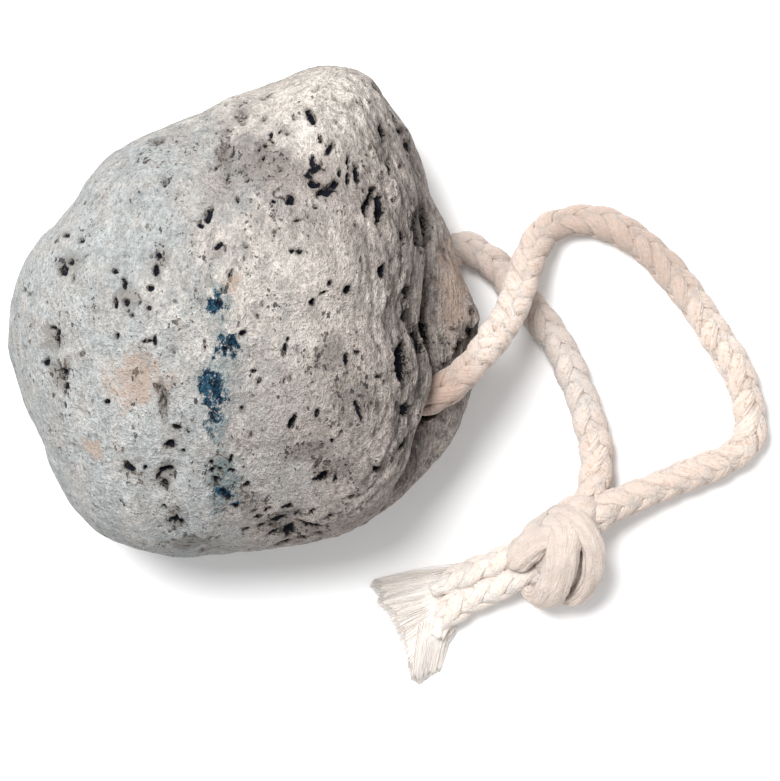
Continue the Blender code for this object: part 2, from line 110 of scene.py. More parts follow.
# Pits in the picture: middle x, y, length, width, turn of the length anticlockwise from
# +X in degrees, depth in millimetres. Only surfaces that face up at all get them.
PITS = [
    # the nose and the ragged hollow under it
    (310, 114, 17, 8, 115, 1.7), (330, 148, 15, 5, 60, 1.3), (312, 161, 13, 7, 100, 1.5),
    (315, 167, 12, 10, 0, 1.6), (309, 174, 9, 7, 0, 1.3), (315, 183, 15, 8, 150, 1.7),
    (325, 190, 20, 9, 10, 1.9), (335, 183, 10, 7, 60, 1.6), (290, 199, 9, 8, 40, 1.5),
    (274, 201, 5, 4, 0, 0.9), (264, 144, 5, 4, 90, 0.9), (241, 118, 13, 11, 90, 0.5),
    (159, 141, 12, 6, 20, 0.6), (377, 89, 14, 3, 130, 0.6), (280, 169, 8, 5, 20, 0.5),
    (264, 118, 5, 3, 60, 0.7), (269, 133, 7, 4, 70, 0.8), (271, 140, 6, 3, 120, 0.7),
    (279, 131, 6, 3, 20, 0.7), (287, 133, 6, 3, 160, 0.7), (294, 117, 7, 5, 90, 0.5),
    (320, 138, 8, 3, 110, 0.9), (259, 149, 6, 3, 60, 0.7), (263, 158, 5, 3, 90, 0.7),
    (247, 180, 6, 4, 60, 0.6), (237, 199, 7, 4, 110, 0.6), (315, 207, 5, 4, 0, 0.6),
    (297, 220, 9, 3, 15, 0.6), (335, 99, 4, 3, 0, 0.6), (316, 89, 7, 3, 40, 0.6),
    (350, 91, 4, 3, 0, 0.6), (263, 99, 5, 3, 0, 0.5), (218, 246, 9, 5, 40, 0.9),
    (225, 249, 6, 3, 90, 0.7), (246, 247, 5, 3, 0, 0.6), (274, 232, 4, 3, 0, 0.6),
    (215, 168, 5, 3, 60, 0.6), (232, 151, 9, 3, 80, 0.6), (227, 176, 12, 3, 75, 0.6),
    # the wrinkles right of the nose
    (348, 162, 13, 3, 90, 1.1), (348, 178, 13, 4, 90, 1.1), (357, 172, 22, 5, 95, 1.2),
    (340, 172, 10, 3, 85, 0.9), (371, 196, 24, 6, 70, 1.6), (366, 209, 16, 6, 85, 1.6),
    (379, 209, 30, 8, 93, 1.6), (383, 130, 12, 6, 95, 1.2), (401, 130, 8, 7, 0, 1.1),
    (409, 145, 11, 5, 110, 1.0), (390, 168, 9, 3, 100, 0.9),
    # the dark holes down the crease
    (421, 227, 42, 15, 92, 2.4), (402, 236, 9, 5, 90, 1.0), (383, 272, 13, 7, 95, 1.5),
    (409, 293, 15, 10, 90, 1.7), (408, 315, 14, 9, 90, 1.7), (423, 336, 30, 9, 98, 1.9),
    (403, 362, 42, 14, 92, 2.6), (407, 411, 13, 10, 90, 1.2), (404, 444, 15, 4, 60, 1.0),
    (379, 471, 9, 7, 0, 1.4), (322, 478, 15, 7, 28, 1.5), (292, 423, 14, 6, 65, 1.5),
    # the lobe
    (471, 312, 5, 5, 90, 1.0), (470, 331, 13, 5, 95, 1.0), (459, 346, 11, 5, 60, 1.0),
    (446, 306, 5, 4, 90, 0.8), (455, 329, 8, 4, 80, 0.8), (443, 339, 5, 5, 90, 0.8),
    # the middle
    (291, 251, 4, 4, 0, 1.0), (299, 252, 6, 5, 0, 1.1), (330, 284, 7, 4, 80, 1.0),
    (348, 290, 10, 8, 70, 1.5), (324, 293, 8, 3, 20, 0.8), (313, 302, 8, 5, 85, 1.2),
    (243, 333, 7, 5, 30, 1.1), (285, 348, 9, 4, 85, 0.9), (288, 339, 5, 3, 60, 0.7),
    (253, 371, 6, 3, 0, 0.8), (259, 381, 7, 4, 60, 0.8), (242, 408, 5, 4, 0, 0.9),
    (317, 414, 9, 4, 75, 1.0), (347, 361, 15, 4, 95, 0.9), (358, 352, 6, 5, 30, 0.8),
    (380, 376, 9, 3, 20, 0.7), (359, 411, 21, 4, 110, 0.9), (332, 441, 4, 4, 0, 0.8),
    (352, 498, 5, 4, 0, 0.8), (278, 521, 16, 5, 20, 1.0), (289, 531, 12, 9, 40, 1.1),
    (311, 525, 18, 4, 170, 0.9), (288, 507, 11, 4, 15, 0.8), (247, 485, 7, 4, 30, 0.8),
    (346, 466, 4, 3, 0, 0.7), (258, 517, 8, 4, 10, 0.7), (330, 518, 8, 3, 20, 0.7),
    (262, 526, 10, 3, 20, 0.9), (272, 534, 12, 3, 25, 0.9), (301, 537, 10, 3, 10, 0.9),
    (318, 534, 9, 3, 170, 0.9), (297, 514, 9, 3, 60, 0.8), (283, 543, 14, 3, 15, 0.8),
    (268, 510, 7, 3, 30, 0.8), (312, 512, 8, 3, 40, 0.8), (246, 530, 8, 3, 10, 0.8),
    # the left side
    (63, 270, 12, 8, 100, 0.9), (70, 262, 7, 6, 0, 0.9), (81, 240, 6, 5, 0, 0.9),
    (66, 235, 6, 5, 0, 0.8), (24, 290, 4, 4, 0, 0.7), (29, 294, 4, 3, 0, 0.7),
    (115, 271, 7, 6, 0, 0.9), (124, 284, 12, 4, 95, 1.1), (150, 289, 6, 6, 0, 1.2),
    (158, 255, 7, 5, 100, 1.1), (156, 270, 10, 6, 80, 0.9), (115, 302, 11, 4, 95, 1.0),
    (126, 302, 6, 6, 0, 0.9), (132, 315, 5, 4, 0, 0.8), (175, 301, 3, 3, 0, 0.8),
    (149, 308, 5, 4, 0, 0.9), (117, 336, 6, 4, 80, 1.1), (52, 328, 9, 3, 170, 0.9),
    (57, 338, 17, 4, 95, 1.0), (46, 362, 8, 6, 60, 1.0), (64, 371, 7, 6, 0, 1.3),
    (64, 378, 4, 3, 0, 0.9), (67, 386, 6, 5, 80, 0.9), (107, 402, 5, 5, 0, 1.3),
    (82, 354, 6, 4, 60, 0.7), (147, 341, 12, 3, 5, 0.8), (155, 341, 10, 4, 95, 1.0),
    (163, 402, 34, 7, 93, 0.5), (177, 427, 9, 4, 160, 1.0), (170, 445, 11, 7, 20, 1.3),
    (183, 451, 4, 3, 0, 0.9), (128, 468, 12, 9, 135, 1.0), (132, 471, 7, 6, 120, 1.4),
    (145, 468, 4, 4, 0, 1.0), (166, 470, 14, 5, 8, 1.4), (158, 476, 8, 4, 60, 1.0),
    (165, 485, 10, 8, 110, 0.8), (165, 508, 7, 3, 140, 0.9), (174, 520, 8, 5, 20, 1.0),
    (181, 522, 6, 5, 60, 1.0), (125, 283, 5, 4, 0, 0.8),
    # down the blue streak
    (208, 215, 14, 7, 70, 1.2), (201, 225, 6, 5, 0, 1.0), (219, 303, 8, 7, 60, 1.0),
    (231, 343, 9, 6, 60, 1.0), (225, 349, 6, 5, 0, 1.0), (216, 388, 14, 7, 85, 0.9),
    (212, 417, 10, 5, 85, 0.8), (211, 463, 5, 4, 0, 1.0), (212, 470, 6, 3, 0, 1.0),
    (220, 470, 6, 3, 0, 1.0), (231, 471, 7, 3, 0, 1.0), (231, 459, 9, 3, 65, 0.9),
    (215, 480, 7, 5, 100, 1.2), (224, 494, 9, 6, 130, 1.2), (228, 498, 6, 5, 0, 1.1),
    (236, 506, 6, 4, 0, 0.9),
]
# Shallow dimples and, where the depth is negative, swells, in the same terms.
DIMPLES = [
    (277, 172, 54, 46, 0, -0.5), (277, 172, 28, 22, 0, 0.8),
    (312, 165, 56, 40, 90, 1.4), (268, 142, 50, 40, 60, 0.7), (228, 165, 90, 26, 85, 0.6),
    (262, 362, 60, 34, 90, 0.5), (338, 400, 70, 44, 70, 0.6), (302, 398, 44, 30, 0, 0.4),
    (158, 268, 54, 22, 90, 0.4), (214, 270, 70, 24, 90, 0.5), (168, 476, 40, 26, 20, 0.5),
    (68, 268, 44, 26, 90, 0.4), (288, 520, 60, 24, 20, 0.8), (222, 480, 60, 30, 90, 0.5),
    (372, 262, 90, 14, 95, 0.6), (350, 196, 70, 14, 85, 0.6), (386, 190, 60, 12, 110, 0.6),
]
DIMPLE_WALL = (0.1, 1.1)  # a wall's stretch, with the oval itself at 1, as for the next three
PIT_WALL = (0.6, 1.35)
PORE_WALL = (0.45, 1.2)
HALO_WALL = (0.6, 2.5)
PIT_REACH = 1.3  # of its length, past which a pit has no effect
# Pits are coloured dark as painted shade in them, from this depth on.
PIT_DARK_FROM, PIT_DARK_OVER = 0.25, 0.7  # a pit is dark from this depth on, and how soon

# Marks in the picture: middle x, y, half width, half height. Blue, green and peach are the
# stone's own colour; the dark marks are painted shade, and the light ones partly painted
# highlight.
PATCHES = {
    "blue": [
        (214, 304, 14, 15), (228, 346, 15, 15), (214, 389, 16, 23), (211, 418, 9, 16),
        (223, 494, 6, 8), (236, 505, 4, 5),
    ],
    "green": [(217, 300, 16, 40), (220, 365, 17, 60), (216, 425, 17, 40), (224, 482, 20, 44)],
    # Lighter marks: partly paler stone, partly painted highlight on the nose and the dome's top.
    "pale_and_highlight": [(290, 100, 150, 56), (275, 290, 120, 95), (345, 130, 40, 60)],
    # Painted highlight on the nose.
    "white_highlight": [(334, 84, 90, 46), (303, 133, 28, 38)],
    "peach": [(136, 382, 40, 32), (92, 448, 15, 12), (455, 285, 22, 70), (236, 284, 14, 12)],
    # Painted shade over the hollows, down the crease and toward the lower edge.
    "shade_grey": [
        (265, 155, 34, 32), (227, 158, 15, 36), (208, 275, 14, 16), (218, 250, 9, 12),
        (165, 402, 10, 24), (68, 262, 18, 16), (158, 262, 10, 26), (52, 338, 14, 20),
        (285, 525, 34, 16), (222, 478, 20, 30), (352, 400, 30, 36), (330, 360, 22, 26),
        (128, 300, 20, 22), (160, 476, 24, 14), (60, 375, 14, 20), (335, 470, 30, 16),
        (190, 545, 40, 9), (240, 500, 30, 16), (176, 518, 16, 12), (300, 448, 40, 12),
        (403, 232, 15, 46), (400, 428, 14, 40), (385, 150, 14, 30), (392, 300, 12, 50),
    ],
}
MARK_WANDER, MARK_WANDER_SIZE = 13.0, 2.6  # a mark's edge wanders by pixels, over millimetres
MARK_FADE = (0.3, 1.3)
NOISE_APART = 50  # millimetres to a second noise that is unlike the first
# The lightest marks are painted highlight, whole only where the surface looks well up.
MARKS_FROM, WHITE_FROM = 0.12, 0.7  # the upward lean from which a mark is whole

# Small pores scattered over the whole stone, and larger ones where the picture can't see.
PORES, PORE_SIZE = 300, (0.45, 0.95)
HIDDEN_PITS, HIDDEN_PIT_SIZE = 130, (0.8, 2.2)
HIDDEN_ABOVE = 1.0
PORE_SIZE_POWER = 3  # the higher it is, the more of them are small
PORE_LENGTH = (1.0, 2.6)  # of its width
PORE_TURN = (88, 14)  # degrees: the mean, and how far they stray
# Wider pores are deeper and get more painted shade.
PORE_DEPTH, PORE_DARK = 0.9, 0.6  # of its width
TABLE_GAP = 0.02

# Unevenness in the mesh: size across and along the fibres, and height.
SWELLS = [(5.0, 7.0, 0.30), (2.4, 3.6, 0.16), (1.1, 1.5, 0.11)]
FOLDS = [(2.2, 8.0, 0.32), (1.05, 3.2, 0.17)]
FOLDS_WANDER, FOLDS_WANDER_SIZE = 1.6, (4.0, 8.0)
FOLD_STEEPNESS, FOLD_DROP = 3.0, 0.8
FOLDS_FROM_CREASE = (-18.0, -5.0)  # the folds grow over this stretch left of the crease
FOLDS_ON_WALLS = 0.3
UPWARD = (0.1, 0.6)  # the upward lean over which a wall turns into the top
# How strongly the folds' hollows and the crease are darkened: painted shade.
FOLD_SHADE, CREASE_SHADE = 2.2, 0.9
CREASE_DEPTH = 1.3
CREASE_WIDTH = 1.1
CREASE_ENDS_FRONT, CREASE_ENDS_BACK = (-30.0, -22.0), (14.0, 0.0)
SOFT_CREASE = 0.2  # how rounded the crease is toward the nose
SOFT_CREASE_STARTS, SOFT_CREASE_ENDS = (4.0, 20.0), (34.0, 52.0)
LEAST_SOFTNESS = 1e-6

# --- The stone's material ---
STONE = {
    # Left and right colours: the right one is warmer and also darker, partly as painted shade
    # where the stone faces away from the light.
    "cool": (0.362, 0.374, 0.372, 1), "warm_and_shaded": (0.388, 0.338, 0.312, 1),
    # The tint is the stone's own; the lighter colour after it is partly paler stone and partly
    # painted highlight on the nose and the dome's top.
    "tint": (0.430, 0.382, 0.348, 1), "pale_and_highlight": (0.61, 0.56, 0.51, 1),
    # The lightest colour is painted highlight on the nose; the peach after it is the stone's own
    # tint.
    "white_highlight": (0.88, 0.815, 0.745, 1), "peach": (0.44, 0.315, 0.240, 1),
    # A dark colour laid as painted shade; then a teal tint that the stone has.
    "shade_grey": (0.132, 0.115, 0.101, 1), "green": (0.135, 0.205, 0.220, 1),
    # Painted shade round the listed pits' rims, then the small pores' brownish painted shade.
    "rim_shade": (0.155, 0.130, 0.108, 1), "brown": (0.145, 0.115, 0.090, 1),
    # The small pores' darkest painted shade, then the pits' painted shade.
    "dark": (0.050, 0.048, 0.050, 1), "pit": (0.110, 0.088, 0.072, 1),
    # The pits' darkest floors: painted shade.
    "pit_floor_shade": (0.003, 0.005, 0.015, 1), "pit_floor_lighter_shade": (0.020, 0.021, 0.027, 1),
    "navy": (0.003, 0.010, 0.026, 1), "blue": (0.030, 0.095, 0.150, 1),
}
PUMICE_LOOK = {"Roughness": 0.95, "Specular IOR Level": 0.12}
# Noises: size across and along the stone's fibres in millimetres, detail and roughness.
NOISES = {
    "drift": (12, 16, 3, 0.6), "tint": (5.5, 6.5, 2, 0.6), "clouds": (3.6, 5.5, 4, 0.6),
    "mottle": (1.3, 1.8, 4, 0.7), "scraps": (1.0, 1.4, 4, 0.8), "grain": (0.62, 0.80, 3, 0.75),
    "dust": (0.26, 0.30, 2, 0.8), "fibres": (0.55, 4.5, 3, 0.65), "crowds": (3.4, 11.0, 3, 0.6),
    "fine_specks": (0.75, 1.00, 2, 0.55), "long_specks": (1.30, 1.90, 2, 0.55),
    "kinds": (1.9, 2.4, 1, 0.6),
}
# What the colour is multiplied by at each noise's low and high values.
TONES = {"clouds": (0.88, 1.12), "mottle": (0.86, 1.13), "grain": (0.80, 1.23),
         "dust": (0.85, 1.19)}
# Marks: the noise that frays a mark, by how much, where it starts and is full, its strength.
MARKS = {
    "pale_and_highlight": ("clouds", 0.9, 0.1, 1.2, 0.70), "white_highlight": ("scraps", 1.2, 0.1, 1.4, 0.75),
    "peach": ("scraps", 1.4, 0.20, 1.1, 0.64), "shade_grey": ("mottle", 0.9, 0.2, 1.1, 0.50),
    "green": ("scraps", 1.4, 0.30, 1.15, 0.62), "rim_shade": ("grain", 1.5, 0.35, 1.2, 0.50),
    "pit": ("grain", 0.7, 0.05, 0.50, 0.55), "blue": ("scraps", 1.8, 0.45, 0.85, 1.0),
}
MARK_EDGE = 0.2  # a mark's noise adds nothing outside its own oval
# The pits' dark floor is painted shade.
PIT_FLOOR, PIT_FLOOR_DUST = (1.0, 0.66, 0.88), 0.4  # as a mark's, for its black floor
# How the colour is multiplied outside and inside that painted shade.
HOLLOW_SHADE_TONE = (1.05, 0.42)
# Ramps over noises or over X: from, to, and where they aren't 0 and 1 the values there.
INK = (0.2, 0.8)
FIBROUS_X = (12, 31)
ROUGHER_X = (-25, 18, 0.85, 1.4)
# Toward +X the colour turns warmer and darker; the darkening is partly painted shade.
WARMER_X, WARM_DRIFT = (-4, 30), 22.0
TINT = (0.35, 0.75, 0.0, 0.35)
STREAKS = (0.15, 0.85, 0.70, 1.30)
CROWD, CROWD_IN_GREY = (0.42, 1.20, 0.06, 0.34), 0.4
# The small pores' painted shade: where it starts and is whole, which of it is darkest, and its
# strength.
SPECK = (1.01, 1.12)
SPECK_DARK = (0.42, 0.62)
SPECK_STRENGTH = 0.88
# How high each noise or mark stands, in millimetres.
BUMPS = {"mottle": 0.50, "scraps": 0.30, "grain": 0.37, "dust": 0.15, "fibrous": 0.40,
         "speck": -0.30, "pit": -0.45}

# --- The rope: the route of part.py, with its rear run up to 1 mm nearer to the photo ---
ROPE_DIAMETER = 6.0
WAY_DIAMETER = 8.0
LOOP_ROUTE = [
    (60.5, -37.5, 7.5), (63.9, -34.6, 6.9), (67.8, -33.0, 5.4), (72.3, -31.2, 4.1),
    (78.7, -28.7, 3.3), (84.6, -26.4, 3.2), (88.7, -23.4, 3.2), (89.8, -19.2, 3.2),
    (88.0, -11.2, 3.2), (83.3, -3.3, 3.2), (77.7, 4.9, 3.2), (70.6, 12.4, 3.2),
    (62.6, 16.6, 3.2), (54.9, 16.0, 3.8), (51.6, 12.9, 5.6), (49.6, 8.4, 8.4),
    (47.7, 2.9, 12.0), (45.8, -1.2, 16.0), (42.8, -5.3, 21.0), (39.4, -9.4, 25.8),
    (35.6, -12.8, 28.2), (32.2, -14.9, 26.9), (30.4, -14.6, 22.6), (28.9, -13.2, 16.6),
    (27.6, -11.9, 10.6), (27.3, -9.6, 5.6), (28.3, -5.6, 3.4), (31.4, 1.4, 3.2),
    (35.1, 9.8, 3.2), (38.6, 12.0, 3.2), (42.0, 10.3, 3.2), (45.3, 7.8, 3.2),
    (48.1, 3.8, 3.2), (54.4, -3.6, 3.2), (58.1, -10.8, 3.2), (60.8, -18.5, 3.2),
    (62.4, -25.5, 3.4), (61.0, -33.0, 5.0), (58.4, -36.5, 6.0),
]
WAY_FIRST, WAY_LAST = 17, 29
WAY_STEP, WAY_SIDES = 1.2, 24
MID_BORE = 23  # the route's point inside the stone where the two cords meet
CURVE_STEPS = 24  # between two points of a route
NEARLY_UPRIGHT = 0.1
KNOT_CORE = (56.2, -42.6, 7.4)
KNOT_CORE_SIZE = (11.0, 12.6, 10.6)
LEFT_TAIL = [
    (54.5, -41.0, 7.2), (49.5, -42.6, 6.0), (44.0, -44.6, 4.6), (38.5, -46.9, 3.6),
    (33.0, -49.4, 3.2),
]
DOWN_TAIL = [
    (54.5, -45.5, 6.6), (49.0, -46.8, 5.4), (43.5, -49.0, 4.2), (38.4, -51.4, 3.4),
    (35.0, -54.4, 3.2), (33.9, -57.6, 3.0),
]
TAIL_THICKNESS = 0.9

COTTON = {
    # The first colour is painted shade in the grooves between strands and yarns; the second is
    # the cotton's own.
    "valley_shade": (0.46, 0.32, 0.24, 1), "crest": (0.70, 0.585, 0.515, 1),
    "thread": (0.53, 0.40, 0.33, 1), "soft": (0.76, 0.675, 0.61, 1),
    # The last colour lightens the frayed ends and the tails' tips: painted light over the
    # stone's cast shadow and the fibres' own shade.
    "tick": (0.44, 0.31, 0.21, 1), "loose_and_lit": (0.83, 0.76, 0.70, 1),
}
COTTON_LOOK = {
    "Roughness": 0.9, "Specular IOR Level": 0.15, "Sheen Weight": 0.3, "Subsurface Scale": 1.0,
    "Subsurface Weight": 0.25, "Subsurface Radius": (0.9 * MM, 0.6 * MM, 0.45 * MM),
}
THREADS_ALONG, THREADS_ACROSS = 0.4, 4.0
# Ramps, and the size, detail and roughness of the spots they are over.
# Over this stretch of how far out a point lies, painted shade gives way to the cotton's own
# colour.
CREST = (0.76, 0.95)
THREAD = (0, 1, 0.40, 0.0)
SOFT_SPOTS, SOFT = (4, 4), (0.3, 1, 0.0, 0.4)
TICK_SPOTS, TICKS = (0.9, 0.9, 3, 0.7), (0.64, 0.82, 0.0, 0.70)
FUZZ_SPOTS, FUZZ = (0.5, 0.5, 3, 0.7), 0.9
# How much the frayed ends are lightened, as painted light, and how their fuzz bump grows.
LOOSE, LOOSE_BUMP = 0.85, (0, 1, 1.0, 0.45)
COTTON_BUMP = 0.16
# Where the cotton is darker: the place, how far it reaches, its colour and its strength.
DARKENING_MIDDLE = 0.35  # of its reach, where it is whole
COTTON_DARKENING = [
    ((56.0, -42.0, 10.0), 15.0, (0.55, 0.485, 0.44, 1), 0.60),
    ((40.0, 10.5, 3.0), 15.0, (0.52, 0.43, 0.39, 1), 0.60),
    ((57.0, -9.0, 3.0), 18.0, (0.54, 0.49, 0.46, 1), 0.55),
    # At the bore's mouth: painted shadow where the ridge overhangs the rope.
    ((31.0, -15.0, 27.0), 16.0, (0.36, 0.25, 0.20, 1), 0.80),
    ((66.0, 15.5, 3.0), 27.0, (0.43, 0.325, 0.27, 1), 0.80),
    ((74.0, -31.0, 4.0), 20.0, (0.56, 0.45, 0.39, 1), 0.55),
]

# The knot's bands of rope, pulled so tight that its yarn lies along them: the route, the width
# and thickness, and whether it is a closed turn.
BANDS = {
    "knot_right_band": ([
        (55.0, -35.9, 8.6), (58.4, -36.4, 11.6), (61.0, -40.6, 12.3), (61.4, -44.6, 11.2),
        (60.3, -48.2, 8.6), (57.4, -50.0, 5.4), (54.4, -45.4, 2.4), (52.8, -39.0, 4.2),
    ], (5.0, 4.0), True),
    "knot_left_band": ([
        (54.0, -37.0, 9.4), (56.2, -38.4, 12.4), (55.9, -42.4, 13.6), (55.0, -46.2, 12.4),
        (53.6, -49.8, 9.0), (51.6, -50.2, 5.2), (50.2, -45.0, 2.6), (50.6, -39.4, 4.6),
    ], (6.2, 3.6), True),
    "knot_upper_band": ([
        (61.8, -33.6, 6.2), (58.8, -35.2, 8.4), (55.8, -37.4, 9.6), (52.8, -39.4, 9.4),
        (49.8, -41.8, 7.8), (46.4, -43.8, 5.6),
    ], (8.2, 5.6), False),
}
YARNS = 7
YARN_RELIEF, YARN_DRIFT, YARN_FULL = 0.09, 0.5, 0.8
BAND_LUMPS, BAND_LUMP_SIZE = 0.10, 2.6
BAND_SIDES = 63
BAND_END_POWER, BAND_END_LEAST = 6, 0.05
# The bands' grooves between their yarns get painted shade.
BAND_CREST, BAND_CREST_RISE = 0.84, 0.14
BAND_THREADS = 2
# The knot's middle takes the full groove colour: painted shade between the bands.
CORE_CREST, CORE_THREADS, CORE_SUBDIVISIONS = 0.75, 3, 4

# The tails' frayed ends, in the picture's pixels: where their fibres start, and their tips.
LEFT_START = [(450, 567), (446, 580), (441, 596), (439, 616), (434, 640)]
LEFT_TIPS = [
    (374, 578), (369, 586), (377, 597), (375, 604), (387, 617), (394, 629),
    (399, 642), (406, 661), (408, 672), (414, 682),
]
DOWN_START = [(418, 622), (432, 618), (449, 626)]
DOWN_TIPS = [(410, 681), (419, 685), (428, 678), (441, 672)]
LEFT_GATHER, DOWN_GATHER = (20, -4), (5, -8)  # how far back over the tail roots may lie
FIBRE_BOW = 1.3
LEFT_FIBRES, DOWN_FIBRES = 230, 110
FIBRE_STEPS, FIBRE_SIDES = 8, 4
FIBRE_THICKNESS, FIBRE_THINNING = 0.18, 0.55
FRAY_HEIGHT, TIP_HEIGHT = 4.4, 0.7
FIBRE_RISE = (-0.35, 0.08)  # over the pad
ROOT_LIFT, ROOT_LIFT_POWER = 0.15, 3
# Shares of a fibre's length, or of the way across the end:
FIBRE_ROOTS = (0.0, 0.12)
FIBRE_EDGE, FIBRE_STRAY, FIBRE_SHORT = 0.01, 0.06, 0.035
FRAY_CREST, FRAY_THREADS = 0.97, 0.2
FIBRE_THREADS, PAD_THREADS = 3.7, 0.9
PAD_ACROSS, PAD_ALONG = 160, 22
PAD_UNDER = 0.12
PAD_GATHER = 0.4
PAD_ROOT, PAD_ROOT_LENGTH = 0.55, 0.4  # how low it starts inside the tail, and how far
PAD_ROUNDNESS = 4
PAD_LENGTH, PAD_RAGGED, PAD_RIDGES = 0.90, 0.09, 0.025
PAD_RAGGED_NOISE, PAD_RIDGE_NOISE = (23, 0.5), (34, 7.5)  # how many across, and which noise

# The braid: eight strands, four each way, over two and under two.
STRANDS_EACH_WAY = 4
BRAID_LEAD = 19.2
BRAID_STEP = 0.55
STRAND_SIDES = 12
STRAND_CENTRE = 0.74  # of the rope's radius, as are the next three
STRAND_WEAVE = 0.075
STRAND_THICKNESS = 0.44
STRAND_WIDTH = 1.04
STRAND_NOISE = (4.0, 7.3, 0.5)  # a length, a step from one noise to the next, a layer
STRAND_STRAY, STRAND_SHIFT, STRAND_SWELL = 0.22, 0.045, 0.20
STRAND_THREADS = 37.0  # sets each strand's threads apart
LABELS_A_ROPE = 10
ROPE_NOISE, ROPE_WAVER = (6.5, 3.1, 9.5), 0.09
# How long a tail's thinning is, and how much of the painted light its tip starts with.
TAPER_LENGTH, TAPER_LOOSE = 6.0, 0.5
TAIL_END = 0.5  # of a tail's thickness, where its fibres spread out


# --- Shared helpers ---
def mix(a, b, share):
    return a + (b - a) * share


def smooth_step(low, high, value):
    share = np.clip((value - low) / (high - low), 0, 1)
    return share * share * (3 - 2 * share)


def link_object(name, data, place=(0, 0, 0)):
    made = bpy.data.objects.new(name, data)
    made.location = Vector(place) * MM
    bpy.context.scene.collection.objects.link(made)
    return made


def add_object(name, verts, faces, attributes=None):
    """A mesh object from points in millimetres."""
    mesh = bpy.data.meshes.new(name)
    mesh.from_pydata((np.asarray(verts) * MM).tolist(), [], faces)
    for label, values in (attributes or {}).items():
        add_attribute(mesh, label, values)
    mesh.shade_smooth()
    return link_object(name, mesh)


def add_attribute(mesh, label, values):
    """A number kept at every point of a mesh, for its material."""
    layer = mesh.attributes.new(label, "FLOAT", "POINT")
    layer.data.foreach_set("value", np.asarray(values, np.float32))


def settle(piece, material, replaces):
    """A finished piece: its material, its body and the solid it stands for."""
    piece.data.materials.clear()
    piece.data.materials.append(material)
    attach(piece, "root")
    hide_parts(replaces)


# --- Camera, light and floor ---
def make_camera():
    data = bpy.data.cameras.new("camera")
    data.sensor_fit = "HORIZONTAL"
    data.sensor_width = SENSOR_WIDTH
    data.lens = SENSOR_WIDTH * FOCAL_PIXELS / PICTURE_WIDTH
    data.clip_start = NEAREST_SEEN * MM
    bpy.context.scene.camera = link_object("camera", data, CAMERA_PLACE)


def add_light(name, place, size, power):
    data = bpy.data.lights.new(name, "AREA")
    data.shape = "DISK"
    data.size = size * MM
    data.energy = power
    light = link_object(name, data, place)
    light.rotation_euler = (-light.location).to_track_quat("-Z", "Y").to_euler()


def make_stage():
    for name, (place, size, power) in LIGHTS.items():
        add_light(name, place, size, power)
    world = bpy.data.worlds.new("sky")
    world.use_nodes = True
    sky = world.node_tree.nodes["Background"]
    sky.inputs["Color"].default_value = (1.0, 1.0, 1.0, 1.0)
    sky.inputs["Strength"].default_value = SKY_STRENGTH
    bpy.context.scene.world = world
    bpy.context.scene.view_settings.view_transform = "Standard"
    square = np.array([(-1, -1, 0), (1, -1, 0), (1, 1, 0), (-1, 1, 0)])
    floor = add_object("floor", square * FLOOR_HALF, [(0, 1, 2, 3)])
    floor.data.materials.append(Shader("paper", PAPER_LOOK).material)


# --- Node materials ---
class Shader:
    """A Principled material and short calls for the nodes that feed it."""

    def __init__(self, name, look):
        self.material = bpy.data.materials.new(name)
        self.material.use_nodes = True
        self.tree = self.material.node_tree
        self.principled = self.tree.nodes["Principled BSDF"]
        for socket, value in look.items():
            self.set(socket, value)

    def set(self, socket, value):
        self.feed(self.principled.inputs[socket], value)

    def feed(self, socket, value):
        if isinstance(value, bpy.types.NodeSocket):
            self.tree.links.new(value, socket)
        else:
            socket.default_value = value

    def node(self, kind, inputs, output, **settings):
        made = self.tree.nodes.new("ShaderNode" + kind)
        for name, value in settings.items():
            setattr(made, name, value)
        for key, value in inputs.items():
            self.feed(made.inputs[key], value)
        return made.outputs[output]

    def place(self, across, along, up):
        """The surface point in millimetres, stretched by dividing each axis by a size."""
        where = self.node("TexCoord", {}, "Object")
        scale = (PER_METRE / across, PER_METRE / along, PER_METRE / up)
        return self.node("VectorMath", {0: where, 1: scale}, 0, operation="MULTIPLY")

    def maths(self, operation, a, b, c=0.0):
        return self.node("Math", {0: a, 1: b, 2: c}, 0, operation=operation)

    def noise(self, across, along, detail=3.0, roughness=0.6):
        """Noise from 0 to 1 with spots of about this size, drawn out along Y."""
        value = self.node("TexNoise", {"Vector": self.place(across, along, across), "Scale": 1.0,
                                       "Detail": detail, "Roughness": roughness}, 0)
        return self.node("MapRange", {0: value, 1: NOISE_LOW, 2: NOISE_HIGH}, 0)

    def ramp(self, value, low, high, start=0.0, end=1.0):
        """value carried smoothly from low..high to start..end."""
        inputs = {0: value, 1: low, 2: high, 3: start, 4: end}
        return self.node("MapRange", inputs, 0, interpolation_type="SMOOTHSTEP")

    def blend(self, share, a, b, kind="MIX"):
        inputs = {"Factor": share, MIX_A: a, MIX_B: b}
        return self.node("Mix", inputs, MIX_RESULT, data_type="RGBA", blend_type=kind)

    def attribute(self, name):
        return self.node("Attribute", {}, "Fac", attribute_name=name)

    def bump(self, height, distance):
        bump = self.node("Bump", {"Height": height, "Distance": distance, "Strength": 1.0}, 0)
        self.set("Normal", bump)


